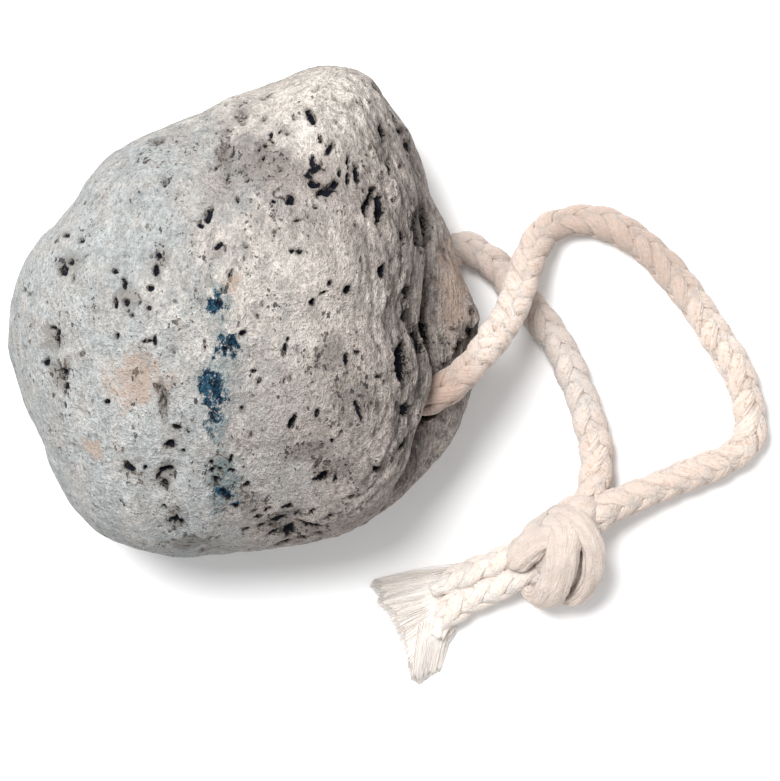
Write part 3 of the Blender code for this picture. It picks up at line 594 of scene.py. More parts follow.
# --- The stone ---
def reach_along(outline, azimuth):
    """How far a closed outline lies from the middle at each azimuth, on a smooth curve."""
    polar = sorted((math.atan2(y, x), math.hypot(x, y)) for x, y in outline)
    angles = np.array([angle for angle, _ in polar])
    reaches = np.tile([reach for _, reach in polar], 3)
    angles = np.concatenate([angles - TURN, angles, angles + TURN])
    slopes = np.gradient(reaches, angles)
    i = np.searchsorted(angles, azimuth) - 1
    span = angles[i + 1] - angles[i]
    t = (azimuth - angles[i]) / span
    bend = t * (1 - t) * span * (slopes[i] * (1 - t) - slopes[i + 1] * t)
    return mix(reaches[i], reaches[i + 1], smooth_step(0, 1, t)) + bend


def fullness(radius, z, reach, level, rise, drop, power):
    """1 on a rounded body's surface and less inside it. It is widest at level."""
    height = np.where(z > level, (z - level) / rise, (level - z) / drop)
    return ((radius / reach) ** power + height ** power) ** (1 / power)


def soft_least(a, b, softness):
    """The lesser of two values, rounded where they are nearly equal."""
    nearness = np.maximum(softness - np.abs(a - b), 0)
    return np.minimum(a, b) - nearness ** 2 / (4 * np.maximum(softness, LEAST_SOFTNESS))


def stone_radius(directions):
    """The distance from the core to the worn surface along each direction: dome and lobe."""
    azimuth = np.arctan2(directions[:, 1], directions[:, 0])
    flat = np.hypot(directions[:, 0], directions[:, 1])
    outline = reach_along(OUTLINE, azimuth)
    dome_outline = OUTLINE[:RIDGE_FIRST] + RIDGE + OUTLINE[RIDGE_LAST + 1:]
    dome_reach = reach_along(dome_outline, azimuth)
    toward = np.cos(azimuth - math.radians(CREASE_AZIMUTH))
    over_crease = smooth_step(CREASE_STARTS, CREASE_FULL, toward)
    dome_level = mix(DOME_LEVEL, DOME_LEVEL_OVER_CREASE, over_crease)
    dome_drop = mix(DOME_DROP, DOME_DROP_OVER_CREASE, over_crease)
    undercut = mix(UNDERCUT, UNDERCUT_ON_THE_RIGHT, over_crease)
    degrees = np.degrees(azimuth)
    softness = SOFT_CREASE * smooth_step(*SOFT_CREASE_STARTS, degrees)
    softness *= 1 - smooth_step(*SOFT_CREASE_ENDS, degrees)
    near = np.zeros(len(directions))
    far = np.full(len(directions), 2 * STONE_TOP)
    for _ in range(HALVINGS):
        middle = (near + far) / 2
        radius = middle * flat
        z = CORE_LEVEL + middle * directions[:, 2]
        dome = fullness(radius, z, dome_reach, dome_level, STONE_TOP - dome_level,
                        dome_drop, ROUNDNESS)
        lobe = fullness(radius, z, outline, LOBE_LEVEL, LOBE_RISE, LOBE_LEVEL - STONE_BASE,
                        np.where(z > LOBE_LEVEL, LOBE_SHOULDER, undercut))
        inside = soft_least(dome, lobe, softness) < 1
        near = np.where(inside, middle, near)
        far = np.where(inside, far, middle)
    return near


def relief(directions, radii):
    """How far the surface stands out from the plain form: lumps, hollows and unevenness."""
    height = np.zeros(len(directions))
    for azimuth, elevation, width, lump in LUMPS:
        a, e = math.radians(azimuth), math.radians(elevation)
        centre = np.array([math.cos(a) * math.cos(e), math.sin(a) * math.cos(e), math.sin(e)])
        away = np.degrees(np.arccos(np.clip(directions @ centre, -1, 1)))
        height += lump * np.exp(-((away / width) ** 2))
    places = directions * (radii / UNEVEN_SIZE)[:, None]
    uneven = [noise.fractal(Vector(p), *UNEVEN_FRACTAL) for p in places]
    return height + UNEVEN_HEIGHT * np.array(uneven)


def ball(subdivisions, fine_above=None):
    """Directions and triangles of a ball, which may be twice as fine on its upper side."""
    bm = bmesh.new()
    bmesh.ops.create_icosphere(bm, subdivisions=subdivisions, radius=1)
    if fine_above is not None:
        upper = {edge for face in bm.faces if face.calc_center_median().z > fine_above
                 for edge in face.edges}
        bmesh.ops.subdivide_edges(bm, edges=list(upper), cuts=1, use_grid_fill=True)
        bmesh.ops.triangulate(bm, faces=[face for face in bm.faces if len(face.verts) > 3])
    directions = np.array([vert.co.normalized() for vert in bm.verts])
    faces = [[vert.index for vert in face.verts] for face in bm.faces]
    bm.free()
    return directions, faces


def noise_at(points, across, along):
    """Smooth noise from -1 to 1 at points, drawn out along the stone's fibres (Y)."""
    places = points / np.array([across, along, across])
    return np.array([noise.noise(Vector(place)) for place in places])


def fine_relief(points, upward):
    """Swells everywhere, and lengthwise folds beside the crease and beyond it; also how much
    painted shade lies in the folds' hollows and the crease.
    """
    height = np.zeros(len(points))
    for across, along, rise in SWELLS:
        height += rise * noise_at(points, across, along)
    crease = sorted((y, x) for x, y in RIDGE)
    crease_x = np.interp(points[:, 1], [y for y, _ in crease], [x for _, x in crease])
    beside = points.copy()
    beside[:, 0] -= crease_x
    share = smooth_step(*FOLDS_FROM_CREASE, beside[:, 0]) * mix(FOLDS_ON_WALLS, 1, upward)
    beside[:, 0] += FOLDS_WANDER * noise_at(points, *FOLDS_WANDER_SIZE)
    folds = np.zeros(len(points))
    for across, along, rise in FOLDS:
        ridges = FOLD_STEEPNESS * np.abs(noise_at(beside, across, along)) - FOLD_DROP
        folds += share * rise * ridges
    in_crease = upward * np.exp(-((beside[:, 0] / CREASE_WIDTH) ** 2))
    in_crease *= smooth_step(*CREASE_ENDS_FRONT, points[:, 1])
    in_crease *= smooth_step(*CREASE_ENDS_BACK, points[:, 1])
    # Painted shade, darkest in the folds' hollows and in the crease.
    hollow_shade = np.clip(-folds * FOLD_SHADE, 0, 1) + CREASE_SHADE * in_crease
    return height + folds - CREASE_DEPTH * in_crease, np.clip(hollow_shade, 0, 1)


def in_picture(points):
    """Where points are seen in the picture, in its pixels."""
    x, y, z = CAMERA_PLACE
    scale = FOCAL_PIXELS / (z - points[:, 2])
    return (PICTURE_MIDDLE[0] + (points[:, 0] - x) * scale,
            PICTURE_MIDDLE[1] - (points[:, 1] - y) * scale)


def from_picture(px, py, z):
    """The place at height z that the picture shows at a pixel: x and y."""
    scale = (CAMERA_PLACE[2] - z) / FOCAL_PIXELS
    return (CAMERA_PLACE[0] + (px - PICTURE_MIDDLE[0]) * scale,
            CAMERA_PLACE[1] - (py - PICTURE_MIDDLE[1]) * scale)


def oval_distance(right, up, length, width, turn):
    """Distance from an oval's middle: 1 on the oval, whose length is turned from +X."""
    c, s = math.cos(math.radians(turn)), math.sin(math.radians(turn))
    return np.hypot((right * c + up * s) / (length / 2), (up * c - right * s) / (width / 2))


def mark_places(points):
    """Where points are seen in the picture, wandering a little so that marks aren't oval."""
    px, py = in_picture(points)
    size = (MARK_WANDER_SIZE, MARK_WANDER_SIZE)
    return (px + MARK_WANDER * noise_at(points, *size),
            py + MARK_WANDER * noise_at(points + NOISE_APART, *size))


def picture_patch(places, seen, patches):
    """1 in the middle of the patches marked in the picture, falling to 0 at their edges."""
    px, py = places
    share = np.zeros(len(px))
    for x, y, half_width, half_height in patches:
        away = oval_distance(px - x, y - py, 2 * half_width, 2 * half_height, 0)
        share = np.maximum(share, seen * (1 - smooth_step(*MARK_FADE, away)))
    return share


def deepen(values, near, least):
    values[near] = np.maximum(values[near], least)


def sink_pits(points, normals):
    """How deep pits sink each point, how much painted shade it takes inside one, and how near to
    one it lies, for painted shade round the rims.
    """
    depth, inside, rim_shade = np.zeros((3, len(points)))
    edge = noise_at(points, PIT_EDGE_SIZE, PIT_EDGE_SIZE)
    px, py = in_picture(points)
    seen = normals[:, 2] > 0
    for x, y, length, width, turn, deep in DIMPLES:
        away = oval_distance(px - x, y - py, length, width, turn)
        depth += seen * deep * (1 - smooth_step(*DIMPLE_WALL, away))
    for x, y, length, width, turn, deep in PITS:
        reach = PIT_REACH * length
        near = np.flatnonzero(seen & (np.abs(px - x) < reach) & (np.abs(py - y) < reach))
        away = oval_distance(px[near] - x, y - py[near], length, width, turn)
        share = 1 - smooth_step(*PIT_WALL, away * (1 + PIT_RAGGED * edge[near]))
        dark = min(1, (deep - PIT_DARK_FROM) / PIT_DARK_OVER)
        deepen(depth, near, deep * share)
        deepen(inside, near, share * dark)
        deepen(rim_shade, near, 1 - smooth_step(*HALO_WALL, away))
    scatter_pits(points, normals, seen, edge, depth, inside)
    return depth, inside, rim_shade


def scatter_pits(points, normals, seen, edge, depth, inside):
    """Small pores over the whole stone, and larger pits where the picture can't see, each with
    painted shade inside.
    """
    chance = random.Random(SEED)
    tree = KDTree(len(points))
    for i, point in enumerate(points):
        tree.insert(point, i)
    tree.balance()
    hidden = np.flatnonzero(~seen & (points[:, 2] > HIDDEN_ABOVE))
    plans = [(range(len(points)), PORES, PORE_SIZE), (hidden, HIDDEN_PITS, HIDDEN_PIT_SIZE)]
    for places, count, (smallest, largest) in plans:
        for _ in range(count):
            index = places[chance.randrange(len(places))]
            width = smallest + (largest - smallest) * chance.random() ** PORE_SIZE_POWER
            length = width * chance.uniform(*PORE_LENGTH)
            near = [i for _, i, _ in tree.find_range(points[index], length)]
            facing = Vector((0, 0, 1)).rotation_difference(Vector(normals[index])).to_matrix()
            flat = (points[near] - points[index]) @ np.array(facing)
            turn = chance.gauss(*PORE_TURN)
            away = oval_distance(flat[:, 0], flat[:, 1], length, width, turn)
            share = 1 - smooth_step(*PORE_WALL, away * (1 + PIT_RAGGED * edge[near]))
            deepen(depth, near, PORE_DEPTH * width * share)
            deepen(inside, near, share * min(1, PORE_DARK * width))


def cut_way(stone):
    """The drilled way that the rope goes through, cut out of the stone."""
    line = even_points(LOOP_ROUTE[WAY_FIRST:WAY_LAST + 1], WAY_STEP)
    rings = ring_points(line, np.full(len(line), WAY_DIAMETER / 2), WAY_SIDES)
    cutter = add_object("rope_way", rings, sweep_faces(len(line), WAY_SIDES))
    step = stone.modifiers.new("way", "BOOLEAN")
    step.operation = "DIFFERENCE"
    step.solver = "MANIFOLD"
    step.object = cutter
    bpy.context.view_layer.objects.active = stone
    bpy.ops.object.modifier_apply(modifier=step.name)
    bpy.data.objects.remove(cutter, do_unlink=True)


def make_stone():
    directions, faces = ball(BALL_SUBDIVISIONS, FINE_ABOVE)
    radii = stone_radius(directions)
    radii += relief(directions, radii)
    plain = directions * radii[:, None] + np.array([0, 0, CORE_LEVEL])
    plain[:, 2] = np.maximum(plain[:, 2], 0)
    stone = add_object("pumice_stone", plain, faces)
    cut_way(stone)
    mesh = stone.data
    points, normals = np.empty((2, len(mesh.vertices), 3))
    mesh.vertices.foreach_get("co", points.ravel())
    mesh.vertex_normals.foreach_get("vector", normals.ravel())
    points /= MM
    depth, inside, rim_shade = sink_pits(points, normals)
    # Painted shade inside the pits and pores, then round the listed pits' rims.
    add_attribute(mesh, "pit", inside)
    add_attribute(mesh, "rim_shade", rim_shade)
    places = mark_places(points)
    for label, patches in PATCHES.items():
        whole_from = WHITE_FROM if label == "white_highlight" else MARKS_FROM
        seen = smooth_step(0, whole_from, normals[:, 2])
        add_attribute(mesh, label, picture_patch(places, seen, patches))
    on_table = points[:, 2] < TABLE_GAP
    upward = smooth_step(*UPWARD, normals[:, 2])
    height, hollow_shade = fine_relief(points, upward)
    add_attribute(mesh, "hollow_shade", hollow_shade)
    moved = points + normals * (height - depth)[:, None]
    moved[on_table] = points[on_table]
    moved[:, 2] = np.maximum(moved[:, 2], TABLE_GAP)
    mesh.vertices.foreach_set("co", (moved * MM).ravel())
    mesh.update()
    settle(stone, pumice_material(), "stone")


def pumice_material():
    pumice = Shader("pumice", PUMICE_LOOK)
    values = {name: pumice.noise(*sizes) for name, sizes in NOISES.items()}
    x = pumice.node("SeparateXYZ", {0: pumice.place(1, 1, 1)}, "X")
    fibrous = pumice.ramp(x, *FIBROUS_X)
    values["fibrous"] = pumice.maths("MULTIPLY", values["fibres"], fibrous)
    values["speck"] = small_specks(pumice, values)
    floor_noise = pumice.maths("MULTIPLY_ADD", values["dust"], PIT_FLOOR_DUST, values["grain"])
    values["pit"] = patch(pumice, "pit", floor_noise, *PIT_FLOOR)
    colour = ground_colour(pumice, values, x)
    for name, (dark, light) in TONES.items():
        colour = tone(pumice, colour, values[name], dark, light)
    streaks = pumice.ramp(values["fibres"], *STREAKS)
    streaks = pumice.node("MapRange", {0: fibrous, 3: 1.0, 4: streaks}, 0)
    colour = shade(pumice, colour, streaks)
    # Peach and green are the stone's colour; the dark mark between them is painted shade.
    for label in ("peach", "shade_grey", "green"):
        colour = lay_mark(pumice, colour, values, label, STONE[label])
    # Painted shade in the folds' hollows and the crease.
    colour = tone(pumice, colour, pumice.attribute("hollow_shade"), *HOLLOW_SHADE_TONE)
    # Painted shade round the rims of the listed pits.
    colour = lay_mark(pumice, colour, values, "rim_shade", STONE["rim_shade"])
    # The small pores and cracks, coloured brown and dark as painted shade in them.
    dark = pumice.ramp(values["kinds"], *SPECK_DARK)
    specks = pumice.maths("MULTIPLY", values["speck"], SPECK_STRENGTH)
    colour = pumice.blend(specks, colour, pumice.blend(dark, STONE["brown"], STONE["dark"]))
    # Painted shade in the pits: a dark colour, then a darker floor.
    colour = lay_mark(pumice, colour, values, "pit", STONE["pit"])
    pit_floor_shade = pumice.blend(values["mottle"], STONE["pit_floor_shade"], STONE["pit_floor_lighter_shade"])
    colour = pumice.blend(values["pit"], colour, pit_floor_shade)
    ink = pumice.blend(pumice.ramp(values["grain"], *INK), STONE["navy"], STONE["blue"])
    pumice.set("Base Color", lay_mark(pumice, colour, values, "blue", ink))
    height = 0.0
    for name, weight in BUMPS.items():
        height = pumice.maths("MULTIPLY_ADD", values[name], weight, height)
    pumice.bump(pumice.maths("MULTIPLY", height, pumice.ramp(x, *ROUGHER_X)), MM)
    return pumice.material


def ground_colour(pumice, values, x):
    """The stone's colour: cooler on the left, warmer and darker on the right, that darkening
    partly painted shade on the side away from the light; with lighter marks that are partly
    painted highlight.
    """
    warm_and_shaded = pumice.maths("MULTIPLY_ADD", values["drift"], WARM_DRIFT, x)
    colour = pumice.blend(pumice.ramp(warm_and_shaded, *WARMER_X), STONE["cool"], STONE["warm_and_shaded"])
    colour = pumice.blend(pumice.ramp(values["tint"], *TINT), colour, STONE["tint"])
    # Lighter marks: partly paler stone, partly painted highlight on the nose and the dome's top.
    for label in ("pale_and_highlight", "white_highlight"):
        colour = lay_mark(pumice, colour, values, label, STONE[label])
    return colour


def shade(pumice, colour, amount):
    """The colour times an amount of light."""
    shade_grey = pumice.node("CombineXYZ", {0: amount, 1: amount, 2: amount}, 0)
    return pumice.blend(1.0, colour, shade_grey, "MULTIPLY")


def lay_mark(pumice, colour, values, label, mark_colour):
    """The colour with a mark laid over it, frayed by a noise, to the mark's strength."""
    frayed_by, raggedness, low, high, strength = MARKS[label]
    share = patch(pumice, label, values[frayed_by], raggedness, low, high)
    return pumice.blend(pumice.maths("MULTIPLY", share, strength), colour, mark_colour)


def tone(pumice, colour, value, dark, light):
    """The colour made darker and lighter where value is low and high."""
    return shade(pumice, colour, pumice.ramp(value, 0, 1, dark, light))


def patch(pumice, label, ragged, raggedness, low, high):
    """An attribute's patches with ragged edges."""
    mark = pumice.attribute(label)
    inside = pumice.maths("MULTIPLY_ADD", ragged, raggedness, mark)
    share = pumice.ramp(inside, low + raggedness / 2, high + raggedness / 2)
    return pumice.maths("MULTIPLY", share, pumice.ramp(mark, 0.0, MARK_EDGE))


def small_specks(pumice, values):
    """Ragged pores and short cracks too small for the mesh, crowded in some places, for their
    painted shade.
    """
    # Pores and cracks crowd more where the dark painted-shade marks lie.
    crowd = pumice.maths("MULTIPLY_ADD", pumice.attribute("shade_grey"), CROWD_IN_GREY,
                         values["crowds"])
    crowd = pumice.ramp(crowd, *CROWD)
    both = [pumice.ramp(pumice.maths("ADD", crowd, values[name]), *SPECK)
            for name in ("fine_specks", "long_specks")]
    return pumice.maths("MAXIMUM", *both)


# --- The rope ---
def even_points(route, step, closed=False):
    """Points a step apart on a smooth curve through the route's own points."""
    points = [Vector(point) for point in route]
    if closed:
        points = [points[-1], *points, *points[:2]]
    else:
        points = [points[0] * 2 - points[1], *points, points[-1] * 2 - points[-2]]
    fine = []
    for before, start, end, after in zip(points, points[1:], points[2:], points[3:]):
        for k in range(CURVE_STEPS):
            t = k / CURVE_STEPS
            fine.append(0.5 * (2 * start + (end - before) * t
                               + (2 * before - 5 * start + 4 * end - after) * t ** 2
                               + (3 * start - 3 * end + after - before) * t ** 3))
    fine = np.array([*fine, points[-2]])
    run = distance_along(fine)
    places = np.linspace(0, run[-1], max(2, round(run[-1] / step)) + 1)
    return np.stack([np.interp(places, run, fine[:, k]) for k in range(3)], axis=1)


def moving_frames(points):
    """Tangent, side and back directions along a line, with no needless twist."""
    tangents = np.gradient(points, axis=0)
    tangents /= np.linalg.norm(tangents, axis=1)[:, None]
    side = np.cross(tangents[0], [0.0, 0.0, 1.0])
    if np.linalg.norm(side) < NEARLY_UPRIGHT:
        side = np.cross(tangents[0], [1.0, 0.0, 0.0])
    sides = []
    for tangent in tangents:
        side = side - tangent * (side @ tangent)
        side = side / np.linalg.norm(side)
        sides.append(side)
    sides = np.array(sides)
    return tangents, sides, np.cross(tangents, sides)


def sweep_faces(rings, sides, tubes=1):
    """Faces of closed-ended tubes of so many rings, whose rings have so many sides."""
    ring = np.arange(rings - 1)[:, None] * sides
    k = np.arange(sides)[None, :]
    after = (k + 1) % sides
    quads = np.stack([ring + k, ring + after, ring + sides + after, ring + sides + k], axis=-1)
    faces = []
    for first in range(0, tubes * rings * sides, rings * sides):
        last = first + (rings - 1) * sides
        faces += (quads.reshape(-1, 4) + first).tolist()
        faces.append(list(range(first + sides - 1, first - 1, -1)))
        faces.append(list(range(last, last + sides)))
    return faces


def outward(side, back, angle):
    """Directions out from a line at angles around it."""
    return (side[:, None, :] * np.cos(angle)[..., None]
            + back[:, None, :] * np.sin(angle)[..., None])


def ring_points(points, radii, sides):
    """The points of a tube's rings around a line."""
    _, side, back = moving_frames(points)
    out = outward(side, back, np.arange(sides)[None, :] * TURN / sides)
    return (points[:, None, :] + out * np.asarray(radii)[:, None, None]).reshape(-1, 3)


def distance_along(points):
    return np.concatenate([[0], np.cumsum(np.linalg.norm(np.diff(points, axis=0), axis=1))])


def unevenness(run, number, length, step, layer):
    """Smooth noise from -1 to 1 along a run, another one for each number."""
    return np.array([noise.noise(Vector((s / length, step * number, layer))) for s in run])


def strand(line, frames, radius, lean, way, start, label):
    """One strand's tube: its points, and how far out, along and across each of them lies."""
    tangents, side, back = frames
    run = distance_along(line)
    section = np.arange(STRAND_SIDES) * TURN / STRAND_SIDES
    uneven = unevenness(run, label, *STRAND_NOISE)
    angle = way * TURN * run / BRAID_LEAD + start + STRAND_STRAY * uneven
    weave = way * STRAND_WEAVE * np.cos(2 * angle)
    middle = (STRAND_CENTRE + weave + STRAND_SHIFT * uneven) * radius
    width = STRAND_WIDTH * radius * (1 + STRAND_SWELL * uneven)
    reach = width[:, None] / 2 * np.cos(section)
    out = outward(side, back, angle[:, None] + reach * math.cos(lean) / middle[:, None])
    far = middle[:, None] + STRAND_THICKNESS / 2 * radius[:, None] * np.sin(section)
    shift = -way * reach * math.sin(lean)
    ring = line[:, None, :] + tangents[:, None, :] * shift[..., None] + out * far[..., None]
    return (ring.reshape(-1, 3), (far / radius[:, None]).ravel(),
            np.repeat(run, STRAND_SIDES) + STRAND_THREADS * label,
            np.tile(np.cos(section), len(line)))


def braid(name, line, thickness, seed, end_thickness=1.0):
    """A round braid along a line: each strand goes over two others and under two.

    Its last stretch may thin down to a share of its thickness.
    """
    frames = moving_frames(line)
    run = distance_along(line)
    lean = math.atan(TURN * STRAND_CENTRE * thickness / BRAID_LEAD)
    thinning = smooth_step(run[-1] - TAPER_LENGTH, run[-1], run)
    radius = thickness * mix(1.0, end_thickness, thinning)
    radius *= 1 + ROPE_WAVER * unevenness(run, seed, *ROPE_NOISE)
    tubes = [strand(line, frames, radius, lean, way, k * TURN / STRANDS_EACH_WAY,
                    LABELS_A_ROPE * seed + 2 * k + (way > 0))
             for way in (1, -1) for k in range(STRANDS_EACH_WAY)]
    core = ring_points(line, STRAND_CENTRE * radius, STRAND_SIDES)
    tubes.append((core, np.full(len(core), STRAND_CENTRE), np.repeat(run, STRAND_SIDES),
                  np.zeros(len(core))))
    verts, crest, along, across = (np.concatenate(column) for column in zip(*tubes))
    # The thinning end's share of painted light, which also roughens its fuzz.
    loose_and_lit = (end_thickness < 1) * mix(TAPER_LOOSE, 1, thinning)
    values = {"crest": crest, "along": along, "across": across,
              "loose_and_lit": np.tile(np.repeat(loose_and_lit, STRAND_SIDES), len(tubes))}
    return add_object(name, verts, sweep_faces(len(line), STRAND_SIDES, len(tubes)), values)


def cotton_material():
    cotton = Shader("cotton", COTTON_LOOK)
    along = cotton.maths("MULTIPLY", cotton.attribute("along"), THREADS_ALONG)
    across = cotton.maths("MULTIPLY", cotton.attribute("across"), THREADS_ACROSS)
    where = cotton.node("CombineXYZ", {0: along, 1: across}, 0)
    threads = cotton.node("TexNoise", {"Vector": where, "Scale": 1.0, "Detail": 3.0}, 0)
    threads = cotton.ramp(threads, NOISE_LOW, NOISE_HIGH)
    loose_and_lit = cotton.attribute("loose_and_lit")
    # Painted shade: the deeper a point lies in the braid, the darker.
    crest = cotton.ramp(cotton.attribute("crest"), *CREST)
    colour = cotton.blend(crest, COTTON["valley_shade"], COTTON["crest"])
    for name, share in (("thread", cotton.ramp(threads, *THREAD)),
                        ("soft", cotton.ramp(cotton.noise(*SOFT_SPOTS), *SOFT)),
                        ("tick", cotton.ramp(cotton.noise(*TICK_SPOTS), *TICKS)),
                        # The last colour is painted light on the frayed ends and the tails'
                        # tips.
                        ("loose_and_lit", cotton.maths("MULTIPLY", loose_and_lit, LOOSE))):
        colour = cotton.blend(share, colour, COTTON[name])
    # Darker cotton around given places; the one at the bore's mouth is painted shadow.
    for place, reach, darker_colour, strength in COTTON_DARKENING:
        away = cotton.node("VectorMath", {0: cotton.place(1, 1, 1), 1: place}, "Value",
                           operation="DISTANCE")
        share = cotton.ramp(away, DARKENING_MIDDLE * reach, reach, strength, 0.0)
        colour = cotton.blend(share, colour, darker_colour)
    cotton.set("Base Color", colour)
    fluff = cotton.maths("MULTIPLY_ADD", cotton.noise(*FUZZ_SPOTS), FUZZ, threads)
    fluff = cotton.maths("MULTIPLY", fluff, cotton.ramp(loose_and_lit, *LOOSE_BUMP))
    cotton.bump(fluff, COTTON_BUMP * MM)
    return cotton.material


def band(name, route, size, closed, seed):
    """A flattened band of parallel yarns along a route, its broad side out from the knot."""
    line = even_points(route, BRAID_STEP, closed)
    tangents = np.gradient(line, axis=0)
    if closed:
        tangents[0] = tangents[-1] = line[1] - line[-2]
    tangents /= np.linalg.norm(tangents, axis=1)[:, None]
    out = line - np.array(KNOT_CORE)
    out -= tangents * np.sum(out * tangents, axis=1)[:, None]
    out /= np.linalg.norm(out, axis=1)[:, None]
    side = np.cross(tangents, out)
    section = np.arange(BAND_SIDES) * TURN / BAND_SIDES
    share = np.linspace(0, 1, len(line))
    drift = YARN_DRIFT * np.sin(TURN * share + seed)
    ridge = np.abs(np.sin((section[None, :] + drift[:, None]) * YARNS / 2))
    places = line[:, None, :] + side[:, None, :] * (size[0] / 2 * np.cos(section))[..., None]
    lumps = noise_at(places.reshape(-1, 3), BAND_LUMP_SIZE, BAND_LUMP_SIZE).reshape(ridge.shape)
    ridge = ridge * np.clip(YARN_FULL + lumps, 0, 1)
    ends = np.ones(len(line))
    if not closed:
        ends = np.sqrt(np.clip(1 - (2 * share - 1) ** BAND_END_POWER, BAND_END_LEAST, 1))
    swell = (1 - YARN_RELIEF * (1 - ridge) + BAND_LUMPS * lumps) * ends[:, None] / 2
    verts = (line[:, None, :]
             + side[:, None, :] * (size[0] * swell * np.cos(section))[..., None]
             + out[:, None, :] * (size[1] * swell * np.sin(section))[..., None])
    run = np.arange(len(line)) * BRAID_STEP
    # Painted shade in the grooves between the yarns.
    values = {"crest": BAND_CREST + BAND_CREST_RISE * ridge.ravel(),
              "along": np.repeat(run, BAND_SIDES),
              "across": np.tile(section * BAND_THREADS, len(line))}
    return add_object(name, verts.reshape(-1, 3), sweep_faces(len(line), BAND_SIDES), values)


def knot_core():
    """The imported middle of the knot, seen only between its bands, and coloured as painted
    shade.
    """
    directions, faces = ball(CORE_SUBDIVISIONS)
    verts = np.array(KNOT_CORE) + directions * np.array(KNOT_CORE_SIZE) / 2
    values = {"crest": np.full(len(verts), CORE_CREST), "along": verts[:, 0] * CORE_THREADS,
              "across": verts[:, 1]}
    return add_object("knot_core", verts, faces, values)


def along_line(points, share):
    """The place this share of the way along a line through points."""
    spots = np.linspace(0, 1, len(points))
    return np.array([np.interp(share, spots, column) for column in zip(*points)])


def frayed_end(name, starts, tips, gather, count, seed):
    """Loose fibres that spread out from the end of a tail, and lie on the surface.

    Their roots lie back over the tail, by up to the gather: a step in the picture.
    """
    chance = random.Random(seed)
    verts, along = [], []
    for number in range(count):
        share = mix(FIBRE_EDGE, 1 - FIBRE_EDGE, (number + chance.random()) / count)
        rise = chance.uniform(*FIBRE_RISE)
        start = along_line(starts, min(1, max(0, share + chance.gauss(0, FIBRE_STRAY))))
        tip = along_line(tips, share)
        root = start - (tip - start) * chance.uniform(*FIBRE_ROOTS)
        root += np.array(gather) * chance.uniform(0, 1)
        tip = start + (tip - start) * (1 - abs(chance.gauss(0, FIBRE_SHORT)))
        bow = np.array([chance.gauss(0, FIBRE_BOW) for _ in range(2)])
        t = np.linspace(0, 1, FIBRE_STEPS)
        seen = root + (tip - root) * t[:, None] + bow * np.sin(math.pi * t)[:, None]
        z = pad_height(share, t) + rise + ROOT_LIFT * (1 - t) ** ROOT_LIFT_POWER
        line = np.column_stack([*from_picture(seen[:, 0], seen[:, 1], z), z])
        radii = FIBRE_THICKNESS / 2 * (1 - FIBRE_THINNING * t)
        verts.append(ring_points(line, radii, FIBRE_SIDES))
        along.append(np.full(FIBRE_STEPS * FIBRE_SIDES, number * FIBRE_THREADS))
    pad, pad_faces = fray_pad(starts, tips, gather, count * FIBRE_STEPS * FIBRE_SIDES)
    verts.append(pad)
    along.append(np.tile(np.repeat(np.arange(PAD_ACROSS), PAD_ALONG) * PAD_THREADS, 2))
    verts = np.concatenate(verts)
    # The frayed ends are fully lightened: painted light.
    values = {"crest": np.full(len(verts), FRAY_CREST), "along": np.concatenate(along),
              "across": verts[:, 0] * FRAY_THREADS, "loose_and_lit": np.ones(len(verts))}
    faces = sweep_faces(FIBRE_STEPS, FIBRE_SIDES, count) + pad_faces
    return add_object(name, verts, faces, values)


def pad_height(share, t):
    """The height of a frayed end across its width and along its fibres."""
    rounded = (1 - abs(2 * share - 1) ** PAD_ROUNDNESS) ** 0.5
    out_of_tail = mix(PAD_ROOT, 1, smooth_step(0, PAD_ROOT_LENGTH, t))
    return rounded * out_of_tail * mix(FRAY_HEIGHT, TIP_HEIGHT, t)


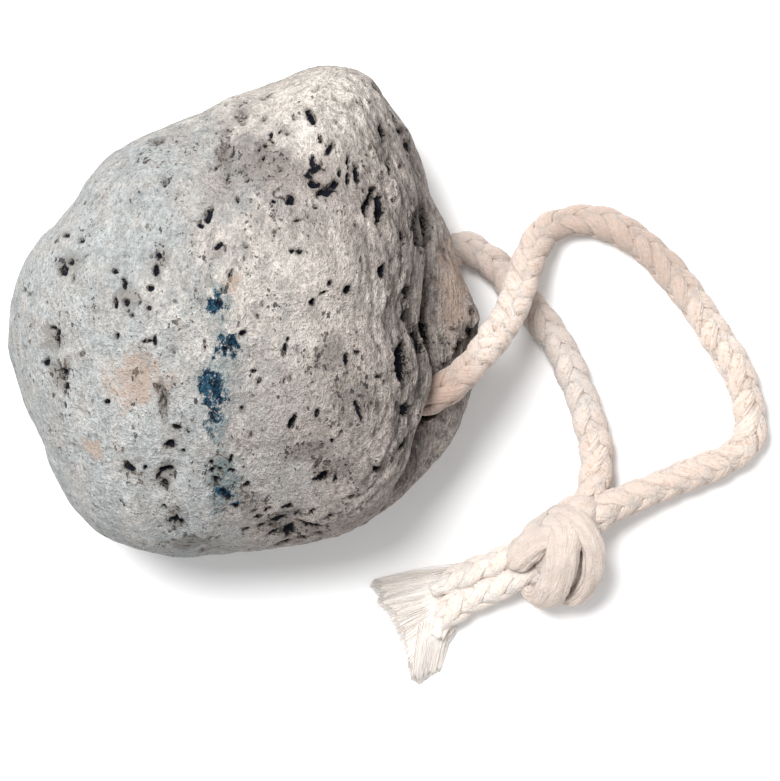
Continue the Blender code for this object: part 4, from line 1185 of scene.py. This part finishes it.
def fray_pad(starts, tips, gather, first):
    """The matted fibres under the free ones: a low closed pad, ridged along the fibres."""
    over, under = [], []
    t = np.linspace(0, 1, PAD_ALONG)
    for share in np.linspace(0, 1, PAD_ACROSS):
        start, tip = along_line(starts, share), along_line(tips, share)
        start = start + np.array(gather) * PAD_GATHER
        ragged, ridge = (noise.noise(Vector((share * count, layer, first)))
                         for count, layer in (PAD_RAGGED_NOISE, PAD_RIDGE_NOISE))
        reach = PAD_LENGTH + PAD_RAGGED * ragged
        seen = start + (tip - start) * reach * t[:, None]
        z = PAD_UNDER + (1 + PAD_RIDGES * ridge) * pad_height(share, t)
        for side, height in ((over, z), (under, np.full(PAD_ALONG, PAD_UNDER))):
            side.append(np.column_stack([*from_picture(*seen.T, height), height]))
    half = PAD_ACROSS * PAD_ALONG
    corner = first + np.arange(half).reshape(PAD_ACROSS, PAD_ALONG)
    quads = np.stack([corner[:-1, :-1], corner[:-1, 1:], corner[1:, 1:], corner[1:, :-1]],
                     axis=-1).reshape(-1, 4)
    faces = quads[:, ::-1].tolist() + (quads + half).tolist()
    edge = np.concatenate([corner[:, 0], corner[-1, 1:], corner[-2::-1, -1], corner[0, -2:0:-1]])
    after = np.roll(edge, -1)
    faces += np.column_stack([edge, after, after + half, edge + half]).tolist()
    return np.concatenate(over + under), faces


def make_rope():
    cotton = cotton_material()
    radius = ROPE_DIAMETER / 2
    front_line = even_points(LOOP_ROUTE[:MID_BORE + 1], BRAID_STEP)[::-1]
    rear_line = even_points(LOOP_ROUTE[MID_BORE:], BRAID_STEP)
    front = braid("rope_front_run", front_line, radius, seed=1)
    rear = braid("rope_rear_run", rear_line, radius, seed=2)
    knot = [knot_core()]
    knot += [band(name, *shape, seed) for seed, (name, shape) in enumerate(BANDS.items(), 1)]
    tails = [braid(name, even_points(route, BRAID_STEP), radius * TAIL_THICKNESS, seed, TAIL_END)
             for name, route, seed in (("tail_left", LEFT_TAIL, 3), ("tail_down", DOWN_TAIL, 4))]
    frayed = [
        frayed_end("frayed_left", LEFT_START, LEFT_TIPS, LEFT_GATHER, LEFT_FIBRES, seed=5),
        frayed_end("frayed_down", DOWN_START, DOWN_TIPS, DOWN_GATHER, DOWN_FIBRES, seed=6),
    ]
    for piece in (front, rear, *knot, *tails, *frayed):
        settle(piece, cotton, "rope")


make_camera()
make_stage()
make_rope()
make_stone()
